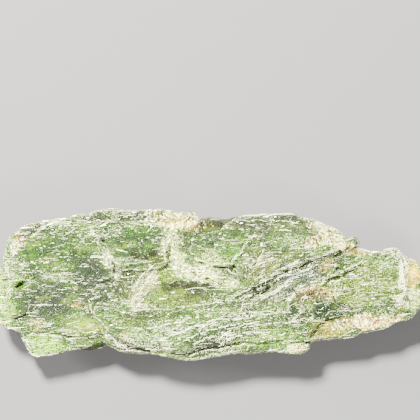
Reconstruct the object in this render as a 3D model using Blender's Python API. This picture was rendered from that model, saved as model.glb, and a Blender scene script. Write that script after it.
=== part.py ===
"""A rough blade of green kyanite, lying on its back with its broad face up.

The stone is one solid: thin cleavage plates stacked on a core, ridges where plates are crumpled,
and lumps of pale matrix, all grown together. Lengths are in millimetres until a mesh is made.
X runs along the blade, Y across it and Z up from the surface that it lies on.
"""

import math
import random

import bmesh
import bpy
from mathutils import Vector

MM = 0.001

# Driving dimensions of the whole stone
LENGTH = 46.2
WIDTH = 16.4
THICKNESS = 5.8

# How a plate breaks: its edge, the slope and belly of its wall, and the folds across its face
EDGE_STEP = 1.5
EDGE_JITTER = 0.13
DRAWN_EDGE_SHARE = 0.35
WALL_DRAFT = 0.16
REST_DRAFT = 0.95
TOP_DRAFT_RANGE = (0.3, 1.5)
LOW_DRAFT_RANGE = (0.3, 1.8)
BELT_SWELL = 0.10
BELT_SWELL_RANGE = (-0.6, 1.0)
BELT_SHARE_RANGE = (0.35, 0.7)
FOLD_RELIEF = 0.10
FOLD_PITCH = 1.5
FOLD_STARTS = (0.3, 0.8)
FOLD_PITCH_SHARES = (0.35, 0.8, 1.2)
FOLD_SNAP = 0.3
SEED = 20

# How a ridge stands: its feet and its root under the crest, how it tapers at its ends and wavers between them
RIDGE_FOOT = 0.75
RIDGE_ROOT = 1.4
RIDGE_END_WIDTH = 0.35
RIDGE_END_DROP = 0.35
RIDGE_WIDTH_RANGE = (0.75, 1.15)
RIDGE_DROP_RANGE = (0.0, 0.12)
RIDGE_WAVER = 0.4

# Largest sealed gap or loose crumb between rough plates that is cleaned away, in cubic millimetres
SPECK = 0.001

# Levels of the plate stack, from the surface that the stone lies on
REST = 0.0
BACK_LOW = 0.4
BACK_HIGH = 0.95
CORE_UNDER = 1.8
CORE_TOP = 4.15
SHEET_TOP = 4.3
SHELF_TOP = 4.7
PLATE_TOP = 5.05
FACE_TOP = 5.35
CREST_TOP = 5.65

GREEN = (0.26, 0.42, 0.16, 1.0)

CORE = [
    (-21.9, 1.2), (-21.2, 4.2), (-19.8, 5.6), (-17.0, 6.3), (-13.6, 6.7), (-10.0, 7.3), (-5.6, 7.4),
    (-2.4, 7.3), (-1.0, 5.7), (1.6, 5.4), (4.5, 6.8), (9.0, 7.0), (12.2, 5.9), (14.8, 4.3), (17.2, 2.9),
    (19.8, 3.1), (21.4, 1.6), (21.7, -1.8), (20.3, -3.3), (17.0, -4.3), (13.0, -5.2), (9.6, -6.4),
    (4.0, -6.7), (-2.0, -7.4), (-6.6, -6.8), (-10.0, -6.0), (-13.5, -5.6), (-18.3, -5.7), (-20.6, -4.1),
    (-22.1, -2.6),
]

# Plates of the broad face, each one a sheet that shows its broken edge as a ledge
FACE_PLATES = {
    "upper_left_rim": dict(
        outline=[
            (-22.5, 1.8), (-22.2, 2.6), (-21.9, 4.0), (-21.6, 5.0), (-20.9, 5.75), (-19.9, 6.4),
            (-19.1, 6.7), (-18.0, 6.9), (-16.4, 7.0), (-15.4, 7.15), (-14.5, 7.5), (-13.6, 7.5),
            (-13.25, 7.2), (-12.6, 7.7), (-11.8, 8.0), (-10.7, 8.2), (-9.8, 8.15), (-9.2, 7.9),
            (-8.0, 8.0), (-6.4, 8.1), (-4.8, 8.15), (-4.0, 6.0), (-8.0, 5.4), (-12.0, 5.0),
            (-17.0, 4.4), (-20.0, 2.8), (-21.3, 0.4), (-22.3, 0.5),
        ],
        top=SHELF_TOP, bottom=3.1, grain=2, lean=(0.004, -0.03), as_drawn=True,
    ),
    "left_face": dict(
        outline=[
            (-21.5, 2.9), (-20.9, 4.1), (-19.9, 4.8), (-18.8, 5.6), (-17.9, 6.25), (-16.6, 6.55),
            (-13.2, 6.6), (-11.7, 6.0), (-11.4, 4.6), (-10.7, 2.4), (-10.4, 0.9), (-11.6, 0.1),
            (-14.6, 0.0), (-16.2, 0.5), (-18.2, 1.0), (-19.2, 0.7), (-20.1, 0.2), (-21.2, -0.3),
            (-21.5, 1.0),
        ],
        top=FACE_TOP - 0.1, bottom=3.7, grain=1, lean=(0.006, 0.01),
    ),
    "left_inner_face": dict(
        outline=[
            (-11.9, 6.5), (-10.7, 6.8), (-8.2, 6.9), (-5.6, 6.5), (-4.8, 5.4), (-4.4, 3.7),
            (-4.5, 2.2), (-5.2, 1.6), (-7.2, 1.5), (-9.6, 1.5), (-10.5, 2.4), (-11.2, 4.3),
        ],
        top=FACE_TOP + 0.1, bottom=3.7, grain=0, lean=(0.0, -0.02),
    ),
    "left_dark_plate": dict(
        outline=[
            (-21.4, -0.5), (-20.1, 0.0), (-18.6, 0.75), (-16.2, 0.4), (-13.5, 0.1), (-11.4, 0.0),
            (-10.2, -0.6), (-11.2, -1.2), (-12.8, -1.7), (-12.7, -2.9), (-13.6, -3.5), (-16.0, -3.9),
            (-18.2, -3.7), (-19.6, -3.2), (-21.2, -3.5), (-21.8, -1.8),
        ],
        top=PLATE_TOP, bottom=3.6, grain=-2, lean=(0.0, 0.03),
    ),
    "left_tip_sheet": dict(
        outline=[
            (-22.7, 1.4), (-21.6, 1.8), (-21.0, -0.2), (-19.6, -2.5), (-18.6, -3.6), (-19.2, -5.1),
            (-20.4, -5.2), (-21.1, -4.85), (-21.8, -4.7), (-22.3, -4.3), (-22.6, -4.1), (-23.0, -3.2),
            (-23.1, -1.6), (-22.9, 0.2),
        ],
        top=SHEET_TOP + 0.15, bottom=2.7, grain=4, lean=(0.06, 0.0), as_drawn=True,
    ),
    "olive_plate": dict(
        outline=[
            (-18.4, -3.4), (-15.4, -3.3), (-13.0, -3.0), (-12.1, -3.6), (-11.2, -4.5), (-10.6, -5.2),
            (-12.4, -5.7), (-15.5, -5.6), (-18.8, -5.2),
        ],
        top=SHELF_TOP + 0.1, bottom=3.0, grain=-4, lean=(0.0, 0.05),
    ),
    "lower_left_prism": dict(
        outline=[
            (-19.8, -5.0), (-17.0, -4.9), (-13.4, -5.1), (-10.7, -5.3), (-10.0, -6.1), (-11.3, -6.35),
            (-13.9, -7.0), (-16.0, -7.6), (-18.8, -7.9), (-19.15, -7.7), (-19.6, -6.9), (-20.4, -5.2),
        ],
        top=CORE_TOP, bottom=1.9, grain=-6, lean=(0.01, 0.08), as_drawn=True,
    ),
    "crushed_patch": dict(
        outline=[
            (-6.0, 1.6), (-5.3, 0.9), (-6.4, -0.6), (-7.5, -2.0), (-8.8, -2.7), (-9.5, -1.6),
            (-8.7, -0.2), (-7.6, 0.9),
        ],
        top=PLATE_TOP + 0.02, bottom=4.0, grain=58, lean=(0.0, 0.0),
    ),
    "centre_plate": dict(
        outline=[
            (-9.4, -2.6), (-8.2, 0.6), (-6.6, 1.7), (-4.6, 2.0), (-3.2, 1.6), (-1.0, 0.8), (0.6, 0.0),
            (3.0, -0.1), (4.4, -0.6), (2.8, -1.5), (0.4, -2.1), (-2.6, -2.4), (-5.4, -2.7), (-8.4, -2.9),
        ],
        top=PLATE_TOP - 0.05, bottom=3.6, grain=2, lean=(0.01, 0.02),
    ),
    "green_hollow_plate": dict(
        outline=[
            (-1.8, 5.2), (0.0, 5.6), (1.6, 5.9), (3.6, 6.0), (5.0, 5.0), (4.2, 3.9), (3.2, 2.8),
            (2.2, 2.0), (0.2, 2.0), (-1.4, 2.5), (-2.1, 4.0),
        ],
        top=PLATE_TOP - 0.1, bottom=3.4, grain=6, lean=(0.0, 0.0),
    ),
    "upper_right_shelf": dict(
        outline=[
            (0.4, 5.3), (1.3, 5.9), (1.9, 6.5), (2.5, 6.9), (3.0, 7.3), (3.9, 7.45), (6.4, 7.6),
            (9.0, 7.7), (9.4, 7.5), (10.3, 7.15), (11.1, 6.9), (12.0, 6.8), (12.6, 6.4), (13.6, 5.95),
            (14.3, 5.4), (14.9, 5.0), (15.4, 5.15), (15.75, 4.8), (15.8, 4.3), (15.0, 3.4), (12.0, 3.0),
            (6.0, 4.0), (2.0, 4.4),
        ],
        top=SHELF_TOP + 0.2, bottom=3.0, grain=1, lean=(-0.012, -0.04), as_drawn=True,
    ),
    "upper_right_face": dict(
        outline=[
            (5.0, 6.0), (9.2, 6.2), (12.4, 5.7), (14.2, 4.9), (14.9, 4.0), (13.4, 3.2), (10.6, 2.4),
            (8.4, 1.6), (6.6, 0.4), (4.6, -0.5), (2.8, -1.2), (1.9, -0.4), (3.2, 0.9), (2.8, 2.2),
            (3.9, 3.6), (4.9, 4.8),
        ],
        top=FACE_TOP, bottom=3.6, grain=7, lean=(-0.01, -0.01),
    ),
    "lower_face": dict(
        outline=[
            (-11.9, -1.6), (-9.6, -2.8), (-7.5, -2.7), (-4.3, -2.5), (-1.1, -2.2), (2.2, -1.7),
            (5.2, -1.5), (8.3, -2.4), (8.3, -4.2), (9.4, -5.0), (10.7, -5.8), (10.2, -6.2), (7.7, -6.2),
            (3.5, -6.2), (0.0, -6.9), (-2.9, -7.5), (-5.4, -7.1), (-8.2, -6.6), (-10.3, -5.4),
            (-11.9, -4.0), (-12.7, -2.8),
        ],
        top=FACE_TOP, bottom=3.4, grain=6, lean=(0.0, 0.03),
    ),
    "lower_shelf": dict(
        outline=[
            (-6.4, -7.45), (-5.4, -7.7), (-3.9, -7.9), (-2.9, -8.15), (-1.9, -8.2), (-0.5, -8.05),
            (1.6, -7.7), (4.3, -7.4), (6.4, -7.3), (7.7, -7.25), (8.8, -7.45), (10.0, -7.3),
            (10.6, -7.0), (10.7, -6.4), (9.6, -5.6), (3.0, -5.4), (-3.0, -6.4), (-7.0, -6.4),
        ],
        top=SHELF_TOP + 0.12, bottom=2.9, grain=5, lean=(0.0, 0.05), as_drawn=True,
    ),
    "grey_ledge": dict(
        outline=[
            (-11.35, -6.3), (-10.9, -6.55), (-9.9, -7.05), (-8.8, -7.3), (-7.5, -7.3), (-6.4, -7.5),
            (-5.0, -7.5), (-5.6, -6.4), (-8.0, -5.9), (-10.2, -4.9), (-11.3, -5.2),
        ],
        top=SHEET_TOP + 0.2, bottom=2.5, grain=-14, lean=(0.0, 0.12), as_drawn=True,
    ),
    "dark_green_plate": dict(
        outline=[
            (8.4, -2.2), (9.6, -1.2), (11.2, -1.4), (13.2, -1.6), (14.3, -2.4), (14.3, -3.2),
            (13.0, -3.7), (11.8, -4.3), (10.9, -5.7), (9.6, -5.3), (8.4, -4.2),
        ],
        top=PLATE_TOP - 0.05, bottom=3.2, grain=10, lean=(0.0, 0.02),
    ),
    "right_face": dict(
        outline=[
            (9.0, -1.6), (10.6, 2.2), (13.4, 3.2), (15.2, 3.8), (16.5, 3.8), (17.3, 3.5), (18.2, 3.55),
            (18.8, 3.8), (19.8, 4.0), (20.2, 3.8), (20.7, 3.1), (20.9, 1.6), (21.1, 0.1), (21.3, -0.9),
            (21.5, -2.4), (21.1, -3.9), (20.3, -4.0), (19.3, -4.5), (18.6, -4.85), (17.6, -4.95),
            (16.5, -5.1), (15.2, -4.3), (13.6, -3.5), (11.0, -3.0),
        ],
        top=SHELF_TOP - 0.05, bottom=2.9, grain=2, lean=(-0.02, 0.01), as_drawn=True,
    ),
    "right_tip_sheet": dict(
        outline=[
            (20.0, 3.2), (20.75, 3.15), (21.3, 2.85), (21.8, 2.65), (22.5, 2.2), (23.0, 1.0),
            (23.1, -0.6), (22.9, -2.0), (22.5, -2.7), (21.8, -3.45), (21.1, -3.9), (19.5, -3.3),
            (19.3, 2.2),
        ],
        top=SHEET_TOP - 0.1, bottom=2.1, grain=5, lean=(-0.02, 0.0), as_drawn=True,
    ),
    "honey_wedge": dict(
        outline=[
            (10.4, -5.2), (11.8, -4.2), (13.0, -3.6), (14.6, -3.2), (15.6, -4.2), (16.5, -5.0),
            (15.6, -5.6), (14.65, -5.8), (13.4, -5.9), (11.8, -6.05), (11.0, -6.2), (10.4, -6.4),
        ],
        top=CORE_TOP + 0.4, bottom=2.3, grain=4, lean=(0.0, 0.06), as_drawn=True,
    ),
}

# Lower plates that close the ground between the crumpled ridges and at the left junction
FLOOR_PLATES = {
    "crumple_floor": dict(
        outline=[
            (1.2, -2.4), (3.4, -1.9), (5.6, -1.0), (8.0, 0.6), (10.4, 2.2), (12.8, 3.0), (13.8, 2.0),
            (12.6, 0.4), (10.8, -0.8), (9.4, -2.2), (8.0, -3.4), (5.2, -2.8),
        ],
        top=PLATE_TOP + 0.1, bottom=3.3, grain=24, lean=(0.0, 0.01),
    ),
    "left_junction_floor": dict(
        outline=[
            (-13.4, -1.2), (-11.2, 0.6), (-8.6, 1.9), (-6.2, 1.7), (-6.8, 0.2), (-8.0, -1.9), (-8.9, -3.3),
            (-10.8, -3.6), (-12.6, -3.4),
        ],
        top=PLATE_TOP - 0.17, bottom=3.3, grain=12, lean=(0.01, 0.0),
    ),
    "left_slit_floor": dict(
        outline=[
            (-20.2, -1.3), (-19.7, 0.9), (-18.0, 1.9), (-15.6, 1.4), (-15.2, -0.6), (-17.6, -1.2),
        ],
        top=PLATE_TOP - 0.12, bottom=3.4, grain=3, lean=(0.0, 0.0),
    ),
}

# Plates of the back and of the flanks, which the broad face hides
BACK_PLATES = {
    "rest_plate": dict(
        outline=[
            (-17.2, 0.6), (-15.6, 3.0), (-11.5, 4.4), (-4.0, 4.9), (4.0, 4.3), (10.0, 3.4), (13.4, 1.2),
            (12.8, -2.4), (8.0, -4.4), (0.0, -5.0), (-8.0, -4.6), (-14.0, -3.4),
        ],
        top=CORE_UNDER + 0.6, bottom=REST, grain=1, lean=(0.0, 0.0), flat_bottom=True,
    ),
    "back_left_plate": dict(
        outline=[
            (-21.6, 3.4), (-18.0, 4.9), (-13.0, 5.4), (-10.2, 3.2), (-10.8, -1.0), (-13.8, -4.7),
            (-19.3, -4.5), (-21.7, -2.2), (-22.2, 0.6),
        ],
        top=CORE_UNDER + 0.9, bottom=BACK_LOW + 0.1, grain=-3, lean=(-0.02, 0.02),
    ),
    "back_right_plate": dict(
        outline=[
            (7.8, 5.3), (13.2, 4.5), (17.5, 2.5), (20.9, 2.0), (21.8, -0.4), (20.6, -3.0),
            (16.5, -4.2), (11.0, -4.8), (7.4, -2.0),
        ],
        top=CORE_UNDER + 0.9, bottom=BACK_LOW, grain=4, lean=(0.02, -0.02),
    ),
    "brown_notch_plate": dict(
        outline=[
            (-5.0, 6.4), (-1.6, 6.8), (-0.3, 7.0), (1.6, 7.05), (2.8, 7.1), (5.5, 7.0), (8.6, 6.5),
            (8.0, 5.0), (4.4, 3.9), (0.2, 3.5), (-4.2, 4.2),
        ],
        top=CORE_UNDER + 1.5, bottom=BACK_HIGH, grain=9, lean=(0.0, -0.05),
    ),
    "olive_sliver": dict(
        outline=[
            (-16.5, -4.8), (-14.3, -7.0), (-13.0, -7.15), (-11.8, -6.9), (-11.1, -6.5), (-8.5, -6.9),
            (-6.2, -6.7), (-6.6, -4.8),
        ],
        top=CORE_UNDER + 1.1, bottom=BACK_HIGH - 0.2, grain=-5, lean=(0.0, 0.07),
    ),
    "back_lower_plate": dict(
        outline=[
            (-6.4, -4.4), (-5.0, -6.9), (-1.5, -7.5), (2.5, -7.0), (7.0, -6.5), (9.8, -6.0), (12.4, -4.6),
            (9.0, -3.6),
        ],
        top=CORE_UNDER + 1.0, bottom=BACK_LOW + 0.3, grain=3, lean=(0.0, 0.09),
    ),
    "back_upper_plate": dict(
        outline=[
            (-18.6, 5.2), (-15.0, 6.6), (-11.0, 7.4), (-6.0, 7.8), (-2.4, 7.4), (-2.0, 5.0), (-12.0, 4.0),
            (-18.0, 4.2),
        ],
        top=CORE_UNDER + 1.4, bottom=BACK_HIGH, grain=2, lean=(0.0, -0.06),
    ),
}

# Crumpled plate edges that stand up as sharp ridges: centreline, half width and crest
RIDGES = {
    "long_ridge": (
        [(0.6, -1.9), (3.2, -1.0), (5.3, 0.2), (7.5, 1.5), (10.7, 2.9), (13.4, 3.7), (14.8, 4.3)],
        0.45, CREST_TOP,
    ),
    "second_ridge": (
        [(5.4, -2.0), (7.2, -1.0), (8.6, -0.1), (10.7, 0.3), (12.2, 0.7), (14.4, 1.5), (16.4, 2.4)],
        0.35, FACE_TOP,
    ),
    "middle_ridge": ([(3.4, -1.6), (5.4, -0.6), (7.0, 0.5), (8.9, 1.3), (10.6, 1.6)], 0.3, CREST_TOP - 0.1),
    "hooked_ridge": ([(10.3, -0.9), (10.0, -2.0), (9.5, -3.0), (8.6, -4.1)], 0.38, FACE_TOP),
    "inner_hook": ([(9.4, -0.3), (8.9, -1.1), (8.4, -2.0), (8.3, -3.0)], 0.28, FACE_TOP),
    "feather_ridge": ([(4.8, 5.1), (4.1, 4.3), (3.3, 3.3), (2.6, 2.6)], 0.3, FACE_TOP + 0.1),
    "left_crack_ridge": ([(-12.2, 5.4), (-11.6, 4.2), (-10.9, 2.6), (-10.4, 1.1)], 0.3, FACE_TOP + 0.1),
    "lower_rib": ([(-2.0, -6.4), (0.4, -5.9), (3.0, -5.1), (6.4, -5.0), (9.0, -4.8)], 0.3, FACE_TOP),
    "right_border": (
        [(20.1, 3.5), (20.5, 2.2), (20.8, 0.6), (21.0, -0.9), (20.6, -2.0)],
        0.32, SHELF_TOP + 0.15,
    ),
}

# Grains of pale matrix, which fill the ground between plates: centre, and half size along each axis
LUMPS = [
    ((-4.6, 7.0, 4.0), (1.7, 1.1, 1.0)),
    ((-2.6, 6.9, 4.0), (1.6, 1.1, 1.1)),
    ((-3.5, 5.8, 4.1), (1.5, 1.3, 0.95)),
    ((-1.9, 5.7, 4.0), (1.1, 1.1, 0.95)),
    ((-3.3, 4.3, 4.1), (1.2, 1.2, 0.95)),
    ((-3.6, 2.9, 4.1), (1.3, 1.2, 0.95)),
    ((-2.2, 2.1, 4.2), (1.3, 0.9, 0.85)),
    ((-0.5, 1.5, 4.2), (1.4, 0.8, 0.85)),
    ((1.2, 0.9, 4.2), (1.3, 0.9, 0.9)),
    ((2.5, 0.5, 4.2), (1.0, 0.8, 0.85)),
    ((-4.4, 4.9, 4.1), (0.9, 1.0, 1.0)),
    ((15.3, 4.4, 4.1), (0.75, 0.7, 0.6)),
    ((17.0, -4.0, 3.7), (2.3, 0.9, 0.85)),
    ((14.8, -3.9, 3.7), (1.2, 0.8, 0.85)),
    ((9.5, -6.6, 3.7), (1.2, 0.7, 0.85)),
    ((-17.6, -4.5, 3.7), (1.5, 0.7, 0.8)),
    ((-20.2, 5.0, 3.7), (1.3, 0.8, 0.9)),
]

# How far in or out each corner of a grain stands
GRAIN_SWELL = (0.78, 1.1)


def clear_scene():
    for old in list(bpy.data.objects):
        bpy.data.objects.remove(old)


def broken_edge(outline, rng, as_drawn):
    """The outline as a ring of points about EDGE_STEP apart, each one pushed a little out of line."""
    ring = []
    for here, there in zip(outline, outline[1:] + outline[:1]):
        start, end = Vector(here), Vector(there)
        pieces = max(1, round((end - start).length / EDGE_STEP))
        ring += [start.lerp(end, i / pieces) for i in range(pieces)]
    jitter = EDGE_JITTER * (DRAWN_EDGE_SHARE if as_drawn else 1.0)
    return [point + Vector((rng.uniform(-jitter, jitter), rng.uniform(-jitter, jitter))) for point in ring]


def fold_lines(low, high, relief, rng):
    """Places across the grain where a plate's face changes slope, each with its height."""
    folds = [(low - 1.0, 0.0)]
    place = low + FOLD_PITCH * rng.uniform(*FOLD_STARTS)
    while place < high:
        folds.append((place, rng.uniform(-relief, relief)))
        place += FOLD_PITCH * rng.choice(FOLD_PITCH_SHARES)
    return folds + [(high + 1.0, 0.0)]


def height_at(folds, across):
    for (place, height), (next_place, next_height) in zip(folds, folds[1:]):
        if across <= next_place:
            share = max(0.0, (across - place) / (next_place - place))
            return height + share * (next_height - height)
    return folds[-1][1]


def outward_normals(mesh):
    """For each point of a flat counter-clockwise sheet, the direction that leaves the sheet there."""
    outward = {vert: Vector((0.0, 0.0)) for vert in mesh.verts}
    for edge in mesh.edges:
        if len(edge.link_faces) != 1:
            continue
        loop = edge.link_loops[0]
        along = loop.link_loop_next.vert.co - loop.vert.co
        for vert in edge.verts:
            outward[vert] += Vector((along.y, -along.x)).normalized()
    return [outward[vert].normalized() for vert in mesh.verts]


def plate_mesh(outline, top, bottom, grain, lean, rng, flat_bottom=False, as_drawn=False):
    """A cleavage plate: an outline cut into long facets along the grain, with a broken wall."""
    ring = broken_edge(outline, rng, as_drawn)
    mesh = bmesh.new()
    mesh.faces.new([mesh.verts.new((*point, 0.0)) for point in ring])
    mesh.normal_update()
    if mesh.faces[:][0].normal.z < 0:
        bmesh.ops.reverse_faces(mesh, faces=mesh.faces)
    turn = math.radians(grain)
    across = Vector((-math.sin(turn), math.cos(turn), 0.0))
    reach = [across.dot(vert.co) for vert in mesh.verts]
    folds = fold_lines(min(reach), max(reach), FOLD_RELIEF, rng)
    for place, _ in folds[1:-1]:
        whole = mesh.verts[:] + mesh.edges[:] + mesh.faces[:]
        bmesh.ops.bisect_plane(mesh, geom=whole, dist=FOLD_SNAP, plane_co=across * place, plane_no=across)

    outward = outward_normals(mesh)
    flat = [vert.co.copy() for vert in mesh.verts]
    middle = sum(flat, Vector()) / len(flat)
    levels = [mesh.verts[:]]
    sheet = mesh.faces[:]
    for inner_sheet in (False, True):
        made = bmesh.ops.extrude_face_region(mesh, geom=sheet)
        if inner_sheet:
            bmesh.ops.delete(mesh, geom=sheet, context="FACES")
        sheet = [item for item in made["geom"] if isinstance(item, bmesh.types.BMFace)]
        levels.append([item for item in made["geom"] if isinstance(item, bmesh.types.BMVert)])
    low, belt, high = [same_order(level, flat) for level in levels]
    for number, place in enumerate(flat):
        push = outward[number].to_3d()
        tilt = lean[0] * (place.x - middle.x) + lean[1] * (place.y - middle.y)
        top_place = place - push * WALL_DRAFT * rng.uniform(*TOP_DRAFT_RANGE)
        top_height = top + tilt + height_at(folds, across.dot(top_place))
        low_draft = REST_DRAFT if flat_bottom else WALL_DRAFT
        low_place = place - push * low_draft * rng.uniform(*LOW_DRAFT_RANGE)
        low_height = bottom if flat_bottom else bottom + tilt - height_at(folds, across.dot(low_place))
        belt_share = rng.uniform(*BELT_SHARE_RANGE)
        belt_place = place + push * BELT_SWELL * rng.uniform(*BELT_SWELL_RANGE)
        high[number].co = (top_place.x, top_place.y, top_height)
        low[number].co = (low_place.x, low_place.y, low_height)
        belt_height = low_height + belt_share * (top_height - low_height)
        belt[number].co = (belt_place.x, belt_place.y, belt_height)
    bmesh.ops.recalc_face_normals(mesh, faces=mesh.faces)
    return mesh


def same_order(verts, flat):
    """The points of one level of a plate, in the order of the flat sheet that they came from."""
    by_place = {(round(vert.co.x, 4), round(vert.co.y, 4)): vert for vert in verts}
    return [by_place[(round(place.x, 4), round(place.y, 4))] for place in flat]


def ridge_mesh(line, half_width, crest, rng):
    """A sharp ridge along a centreline: four-sided sections that taper to both ends."""
    mesh = bmesh.new()
    points = [Vector(point) for point in line]
    rings = []
    for number, point in enumerate(points):
        before, after = points[max(0, number - 1)], points[min(len(points) - 1, number + 1)]
        along = (after - before).normalized()
        side = Vector((-along.y, along.x))
        ends = min(number, len(points) - 1 - number)
        width = half_width * (RIDGE_END_WIDTH if ends == 0 else rng.uniform(*RIDGE_WIDTH_RANGE))
        rise = crest - (RIDGE_END_DROP if ends == 0 else rng.uniform(*RIDGE_DROP_RANGE))
        left, right = point + side * width, point - side * width
        ridge = point + side * width * rng.uniform(-RIDGE_WAVER, RIDGE_WAVER)
        foot, root = crest - RIDGE_FOOT, crest - RIDGE_ROOT
        section = [(*left, foot), (*ridge, rise), (*right, foot), (*point, root)]
        rings.append([mesh.verts.new(corner) for corner in section])
    for ring, following in zip(rings, rings[1:]):
        for corner in range(4):
            nxt = (corner + 1) % 4
            mesh.faces.new((ring[corner], ring[nxt], following[nxt], following[corner]))
    mesh.faces.new(rings[0])
    mesh.faces.new(rings[-1][::-1])
    bmesh.ops.recalc_face_normals(mesh, faces=mesh.faces)
    return mesh


def lump_mesh(centre, half_size, rng):
    """An angular grain of matrix with flat facets."""
    mesh = bmesh.new()
    bmesh.ops.create_icosphere(mesh, subdivisions=2, radius=1.0)
    for vert in mesh.verts:
        swell = rng.uniform(*GRAIN_SWELL)
        vert.co = [middle + half * part * swell for middle, half, part in zip(centre, half_size, vert.co)]
    bmesh.ops.recalc_face_normals(mesh, faces=mesh.faces)
    return mesh


def crystal_material():
    material = bpy.data.materials.new("kyanite_green")
    material.use_nodes = True
    shader = material.node_tree.nodes["Principled BSDF"]
    shader.inputs["Base Color"].default_value = GREEN
    shader.inputs["Roughness"].default_value = 0.32
    shader.inputs["Metallic"].default_value = 0.0
    return material


def add_object(name, mesh, material, frame, collection):
    """An object from a mesh in millimetres, under the frame that gives it its real size."""
    data = bpy.data.meshes.new(name)
    mesh.to_mesh(data)
    mesh.free()
    data.materials.append(material)
    added = bpy.data.objects.new(name, data)
    added.parent = frame
    collection.objects.link(added)
    return added


def grown_parts():
    """Every plate, ridge and lump that grows on the core, as (name, mesh in millimetres)."""
    rng = random.Random(SEED)
    for name, sizes in {**FACE_PLATES, **BACK_PLATES}.items():
        yield name, plate_mesh(rng=rng, **sizes)
    for name, (line, half_width, crest) in RIDGES.items():
        yield name, ridge_mesh(line, half_width, crest, rng)
    for number, (centre, half_size) in enumerate(LUMPS):
        yield f"matrix_lump_{number + 1}", lump_mesh(centre, half_size, rng)
    for name, sizes in FLOOR_PLATES.items():
        yield name, plate_mesh(rng=rng, **sizes)


def join_all(crystal, grown):
    """Grows every part of the collection into the core with one exact union."""
    join = crystal.modifiers.new("grown_together", "BOOLEAN")
    join.operation = "UNION"
    join.operand_type = "COLLECTION"
    join.collection = grown
    join.solver = "EXACT"


def shells_of(mesh):
    """The mesh's separate closed surfaces; two that only touch along an edge or at a point are two."""
    unseen = set(mesh.faces)
    shells = []
    while unseen:
        shell, waiting = set(), [unseen.pop()]
        while waiting:
            face = waiting.pop()
            shell.add(face)
            inner = [edge for edge in face.edges if len(edge.link_faces) == 2]
            linked = {other for edge in inner for other in edge.link_faces} & unseen
            unseen -= linked
            waiting += linked
        shells.append(shell)
    return shells


def shell_volume(shell):
    """What a closed surface of triangles holds, in cubic millimetres: negative where it bounds a gap."""
    corners = [[vert.co for vert in face.verts] for face in shell]
    return sum(a.dot(b.cross(c)) for a, b, c in corners) / 6.0


def apply_union(crystal):
    """Makes the joined shape the crystal's own mesh, without the specks that rough plates leave.

    Only a speck may go: a plate, ridge or lump that doesn't meet the rest stops the script.
    """
    bpy.context.view_layer.update()
    mesh = bmesh.new()
    mesh.from_object(crystal, bpy.context.evaluated_depsgraph_get())
    bmesh.ops.triangulate(mesh, faces=mesh.faces)
    shells = shells_of(mesh)
    specks = [shell for shell in shells if abs(shell_volume(shell)) < SPECK]
    if len(shells) - len(specks) != 1:
        raise RuntimeError(f"the stone is in {len(shells) - len(specks)} pieces: make its parts overlap")
    bmesh.ops.delete(mesh, geom=[face for shell in specks for face in shell], context="FACES")
    crystal.modifiers.clear()
    mesh.to_mesh(crystal.data)
    mesh.free()


def fit_to_size(frame, crystal):
    """Sizes the frame so that the stone has its real dimensions, is centred, and rests at Z = 0."""
    for axis, size in enumerate((LENGTH, WIDTH, THICKNESS)):
        reach = [vert.co[axis] for vert in crystal.data.vertices]
        low, high = min(reach), max(reach)
        middle = low if axis == 2 else (low + high) / 2
        frame.scale[axis] = MM * size / (high - low)
        frame.location[axis] = -middle * frame.scale[axis]


def build():
    clear_scene()
    scene_collection = bpy.context.scene.collection
    frame = bpy.data.objects.new("crystal_frame", None)
    frame.scale = (MM, MM, MM)
    scene_collection.objects.link(frame)
    grown = bpy.data.collections.new("grown_parts")
    scene_collection.children.link(grown)

    material = crystal_material()
    core_mesh = plate_mesh(CORE, CORE_TOP, CORE_UNDER, 1, (0.0, 0.0), random.Random(SEED + 1))
    crystal = add_object("kyanite_crystal", core_mesh, material, frame, scene_collection)
    for name, mesh in grown_parts():
        helper = add_object(name, mesh, material, frame, grown)
        helper.hide_render = True
        helper.display_type = "WIRE"
    join_all(crystal, grown)
    apply_union(crystal)
    fit_to_size(frame, crystal)


build()
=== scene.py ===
"""The looks of a rough blade of green kyanite that lies on its back, broad face up.

The stone's own mesh is refined and given its striations, ledges, crumpled crests and pits. Cleavage
sheets, splinters, hair-thin needles, torn frosty shards and grains of matrix then grow on it. Places on the
broad face are named in the photograph's pixels. Other sizes are in millimetres, and those of the stage in
metres.
"""

import math
import random

import bmesh
import bpy
import numpy as np
from mathutils import Matrix, Vector
from mathutils.bvhtree import BVHTree
from mathutils.kdtree import KDTree


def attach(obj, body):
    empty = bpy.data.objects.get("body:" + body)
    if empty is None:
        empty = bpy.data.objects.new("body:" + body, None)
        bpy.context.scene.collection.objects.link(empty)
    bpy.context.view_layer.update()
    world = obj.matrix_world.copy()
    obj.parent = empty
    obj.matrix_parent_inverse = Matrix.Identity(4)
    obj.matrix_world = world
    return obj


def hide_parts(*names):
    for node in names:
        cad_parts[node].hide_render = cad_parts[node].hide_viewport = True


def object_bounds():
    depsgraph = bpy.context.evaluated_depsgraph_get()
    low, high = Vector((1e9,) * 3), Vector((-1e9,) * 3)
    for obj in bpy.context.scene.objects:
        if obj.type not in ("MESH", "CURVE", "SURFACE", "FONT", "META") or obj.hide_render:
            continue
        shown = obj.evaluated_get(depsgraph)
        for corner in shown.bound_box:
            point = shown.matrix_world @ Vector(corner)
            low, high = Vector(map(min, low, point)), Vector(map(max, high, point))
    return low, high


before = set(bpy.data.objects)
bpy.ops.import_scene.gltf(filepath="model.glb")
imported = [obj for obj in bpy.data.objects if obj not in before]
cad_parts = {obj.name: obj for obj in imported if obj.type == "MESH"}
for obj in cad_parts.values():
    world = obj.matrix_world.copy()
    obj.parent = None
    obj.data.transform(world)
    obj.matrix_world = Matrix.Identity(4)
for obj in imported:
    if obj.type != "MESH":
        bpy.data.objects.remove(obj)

CAD_LOW, CAD_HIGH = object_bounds()

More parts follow.
